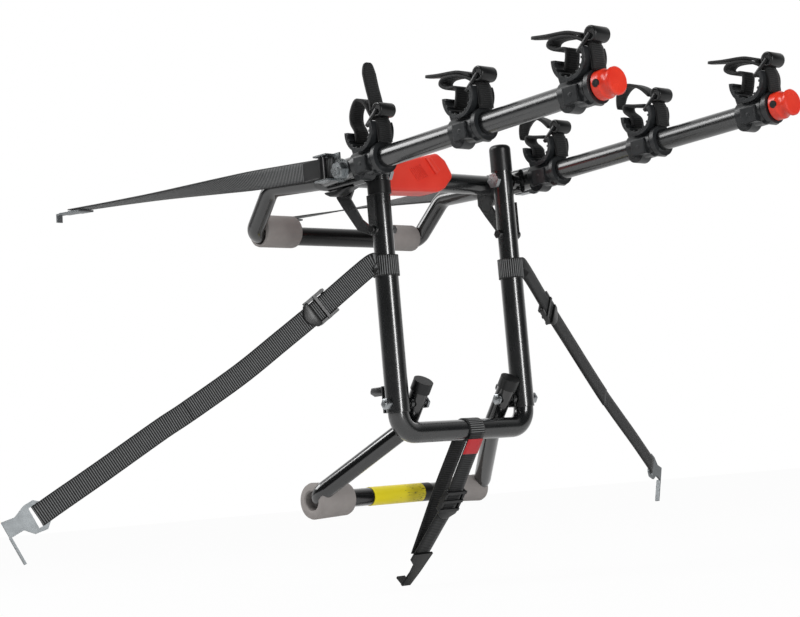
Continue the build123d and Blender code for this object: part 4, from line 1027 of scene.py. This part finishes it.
# %% Tongues of the ladder locks
tongue = ((12, 15.5), (12, -15.5), (19, -15), (26, -6), (27.5, 0), (26, 6), (19, 15))
tongue_lift, tongue_thick = 2.2, 3.2
locks = {  # a point on the strap under the lock, and the strap's direction there
    "left": ((-195.0, 23.6, 154.0), (-187.0, 71.4, -143.0)),
    "right": ((195.0, 23.6, 154.0), (187.0, 71.4, -143.0)),
    "bottom": ((8.8, 42.6, -84.0), (0, 64.4, -66.0)),
}
for name, (point, ahead) in locks.items():
    along = Vector(ahead).normalized()
    if name == "bottom":
        across = Vector((1, 0, 0))
        outward = Vector((0, along.z, -along.y))
    else:
        across = (Vector((0, 0, 1)) - along * along.z).normalized()
        outward = along.cross(across)
        outward = outward if outward.y < 0 else -outward
    base = Vector(point) + outward * tongue_lift
    bm = bmesh.new()
    outline = [base + along * u + across * v for u, v in tongue]
    outline_block(bm, outline, (0, 0, 0), outward * tongue_thick, 1.2, 3)
    piece(f"lock_tongue_{name}", bm, buckle_plastic, "frame", "black_plastic")

# %% [markdown]
# The yellow band is a film sleeve on the lower foot's bar, scuffed, and black at one end. The
# scuffs run along the bar, so the noise is stretched along X, and a slow ramp gathers
# them at the +X end. A painted mask could do the same, but it would need an image.


# %% Yellow film sleeve
def yellow_material():
    """Yellow film with dark scuffs that gather at the +X end."""
    scuff_mm, half_length_mm, black_from_mm, black_to_mm = 2.2, 50, 36, 37
    material, tree, output = new_material("yellow_vinyl_sleeve")
    spot = (add(tree, "ShaderNodeTexCoord"), "Object")
    long = (add(tree, "ShaderNodeMapping", Vector=spot, Scale=(0.25, 1.0, 1.0)), "Vector")
    size = 1 / mm(scuff_mm)
    scuff = add(tree, "ShaderNodeTexNoise", Vector=long, Scale=size, Detail=6.0, Roughness=0.7)
    split = add(tree, "ShaderNodeSeparateXYZ", Vector=spot)
    toward = add(
        tree,
        "ShaderNodeMapRange",
        Value=(split, "X"),
        From_Min=mm(-half_length_mm),
        From_Max=mm(half_length_mm),
        To_Min=-0.22,
        To_Max=0.02,
    )
    level = add(tree, "ShaderNodeMath", {"operation": "ADD"}, i0=(scuff, "Fac"), i1=(toward, 0))
    worn = add(tree, "ShaderNodeMapRange", Value=(level, 0), From_Min=0.50, From_Max=0.58)
    end = add(
        tree,
        "ShaderNodeMapRange",
        Value=(split, "X"),
        From_Min=mm(black_from_mm),
        From_Max=mm(black_to_mm),
    )
    dark = add(
        tree,
        "ShaderNodeMath",
        {"operation": "MULTIPLY_ADD", "use_clamp": True},
        i0=(worn, 0),
        i1=0.85,
        i2=(end, 0),
    )
    tint = add(
        tree,
        "ShaderNodeMix",
        {"data_type": "RGBA"},
        Factor=(dark, 0),
        A=linear("#eedc1e"),
        B=linear("#0e0e0c"),
    )
    shader = add(tree, "ShaderNodeBsdfPrincipled", Base_Color=(tint, 2), Roughness=0.4, IOR=1.5)
    return close(material, tree, output, shader)


yellow_film = yellow_material()
nodes["lower_foot_band"].data.materials.clear()
nodes["lower_foot_band"].data.materials.append(yellow_film)
print("band's finish", yellow_film.name)

# %% [markdown]
# The photograph's background is plain white. A floor lit to white would need so much light that
# the rack would bleach, so the floor shows its own white to the camera alone, and keeps a thin share
# of plain paper for the shadow. In reflections it is faint, so that the undersides stay dark.

# %% Floor
FLOOR_SIZE = 30
FLOOR_GAP = mm(1)
WHITE_SHARE = 0.96
bm = bmesh.new()
bmesh.ops.create_grid(bm, x_segments=1, y_segments=1, size=FLOOR_SIZE)
bmesh.ops.translate(bm, verts=bm.verts, vec=(0, 0, cad_box[0].z - FLOOR_GAP))
floor_mesh = bpy.data.meshes.new("floor")
bm.to_mesh(floor_mesh)
bm.free()
floor = bpy.data.objects.new("floor", floor_mesh)
bpy.context.scene.collection.objects.link(floor)

floor_paper, tree, output = new_material("white_paper_floor")
path = add(tree, "ShaderNodeLightPath")
largest = {"operation": "MAXIMUM"}
product = {"operation": "MULTIPLY"}
faint = add(tree, "ShaderNodeMath", product, i0=(path, "Is Glossy Ray"), i1=0.2)
shown = add(tree, "ShaderNodeMath", largest, i0=(path, "Is Camera Ray"), i1=(faint, 0))
shown = add(tree, "ShaderNodeMath", largest, i0=(shown, 0), i1=(path, "Is Transmission Ray"))
share = add(tree, "ShaderNodeMath", product, i0=(shown, 0), i1=WHITE_SHARE)
paper = add(tree, "ShaderNodeBsdfDiffuse", Color=linear("#d8d8d8"))
white = add(tree, "ShaderNodeEmission", Strength=1.0)
sheet = add(tree, "ShaderNodeMixShader", i0=(share, 0), i1=(paper, 0), i2=(white, 0))
tree.links.new(sheet.outputs[0], output.inputs["Surface"])
floor_mesh.materials.append(floor_paper)
print("floor at z", round(cad_box[0].z - FLOOR_GAP, 4))

# %% [markdown]
# The surroundings light the rack softly from everywhere. The camera sees them as plain white, and
# glossy parts mirror a studio that is bright behind the rack and dark behind the camera, which
# gives black tube its dark middle. A picture of a real studio could do this, but a ramp over one
# direction is enough, and it needs no image.

# %% World
bright_side = (0.684, 0.724, 0.094)
world = bpy.data.worlds.new("white_studio")
world.use_nodes = True
tree = world.node_tree
tree.nodes.clear()
path = add(tree, "ShaderNodeLightPath")
place = add(tree, "ShaderNodeTexCoord")
dot = {"operation": "DOT_PRODUCT"}
toward = add(tree, "ShaderNodeVectorMath", dot, i0=(place, "Generated"), i1=bright_side)
ramp = {"From_Min": 0.05, "From_Max": 1.0, "To_Min": 0.03, "To_Max": 1.0}
mirrored = add(tree, "ShaderNodeMapRange", Value=(toward, "Value"), **ramp)
seen_rays = {"i0": (path, "Is Camera Ray"), "i1": (path, "Is Transmission Ray")}
seen = add(tree, "ShaderNodeMath", largest, **seen_rays)
glossy = add(tree, "ShaderNodeMix", Factor=(path, "Is Glossy Ray"), A=0.55, B=(mirrored, "Result"))
level = add(tree, "ShaderNodeMix", Factor=(seen, 0), A=(glossy, 0), B=1.0)
sky = add(tree, "ShaderNodeBackground", Color=(1, 1, 1, 1), Strength=(level, 0))
tree.links.new(sky.outputs[0], add(tree, "ShaderNodeOutputWorld").inputs[0])
bpy.context.scene.world = world
print("world nodes", len(tree.nodes))

# %% [markdown]
# Three large lamps draw the long highlights on the tubes. A round tube mirrors a lamp as a line
# along its length, and a lamp's width sets the width of that line, so soft boxes suit it better
# than points or a sun. The camera doesn't see the lamps.


# %% Lamps
def softbox(name, place, aim, width, height, power):
    """A rectangular lamp that faces a point."""
    light = bpy.data.lights.new(name, "AREA")
    light.shape = "RECTANGLE"
    light.size = width
    light.size_y = height
    light.energy = power
    lamp = bpy.data.objects.new(name, light)
    bpy.context.scene.collection.objects.link(lamp)
    lamp.location = place
    lamp.rotation_euler = (Vector(aim) - Vector(place)).to_track_quat("-Z", "Y").to_euler()
    lamp.visible_camera = False
    return lamp


lamps = (
    softbox("strip", (-0.5, -2.6, 0.45), (0, 0, 0.2), 0.55, 1.1, 26),
    softbox("overhead", (-1.5, 1.0, 2.4), (0, 0, 0.1), 1.0, 1.0, 30),
    softbox("rim", (-1.5, 2.2, 1.7), (0, 0, 0.25), 1.7, 1.1, 28),
)
print("lamps", [(lamp.name, lamp.data.energy) for lamp in lamps])

# %% [markdown]
# The camera stands low on the bicycles' side, a little to the left, and rolled by five degrees. It
# could be aimed by eye, but a view fitted to points of the photograph gives its place, its lens
# and its three directions as numbers.

# %% Camera
lens = bpy.data.cameras.new("camera")
lens.lens = 89.09
lens.sensor_width = 36
lens.clip_end = 100
camera = bpy.data.objects.new("camera", lens)
bpy.context.scene.collection.objects.link(camera)
right = Vector((0.72975184, -0.67830377, -0.08582684))
up = Vector((-0.0018187, -0.12745603, 0.99184255))
back = Vector((-0.68370969, -0.72364284, -0.0942449))
turn = Matrix((right, up, back)).transposed().to_4x4()
camera.matrix_world = Matrix.Translation((-1.71565, -1.71982, -0.07449)) @ turn
bpy.context.scene.camera = camera
bpy.context.scene.view_settings.view_transform = "Standard"
hub_distance = (camera.matrix_world.translation - Vector((0, 0, mm(HUB_Z)))).length
print("camera's distance from the hub", round(hub_distance, 3))
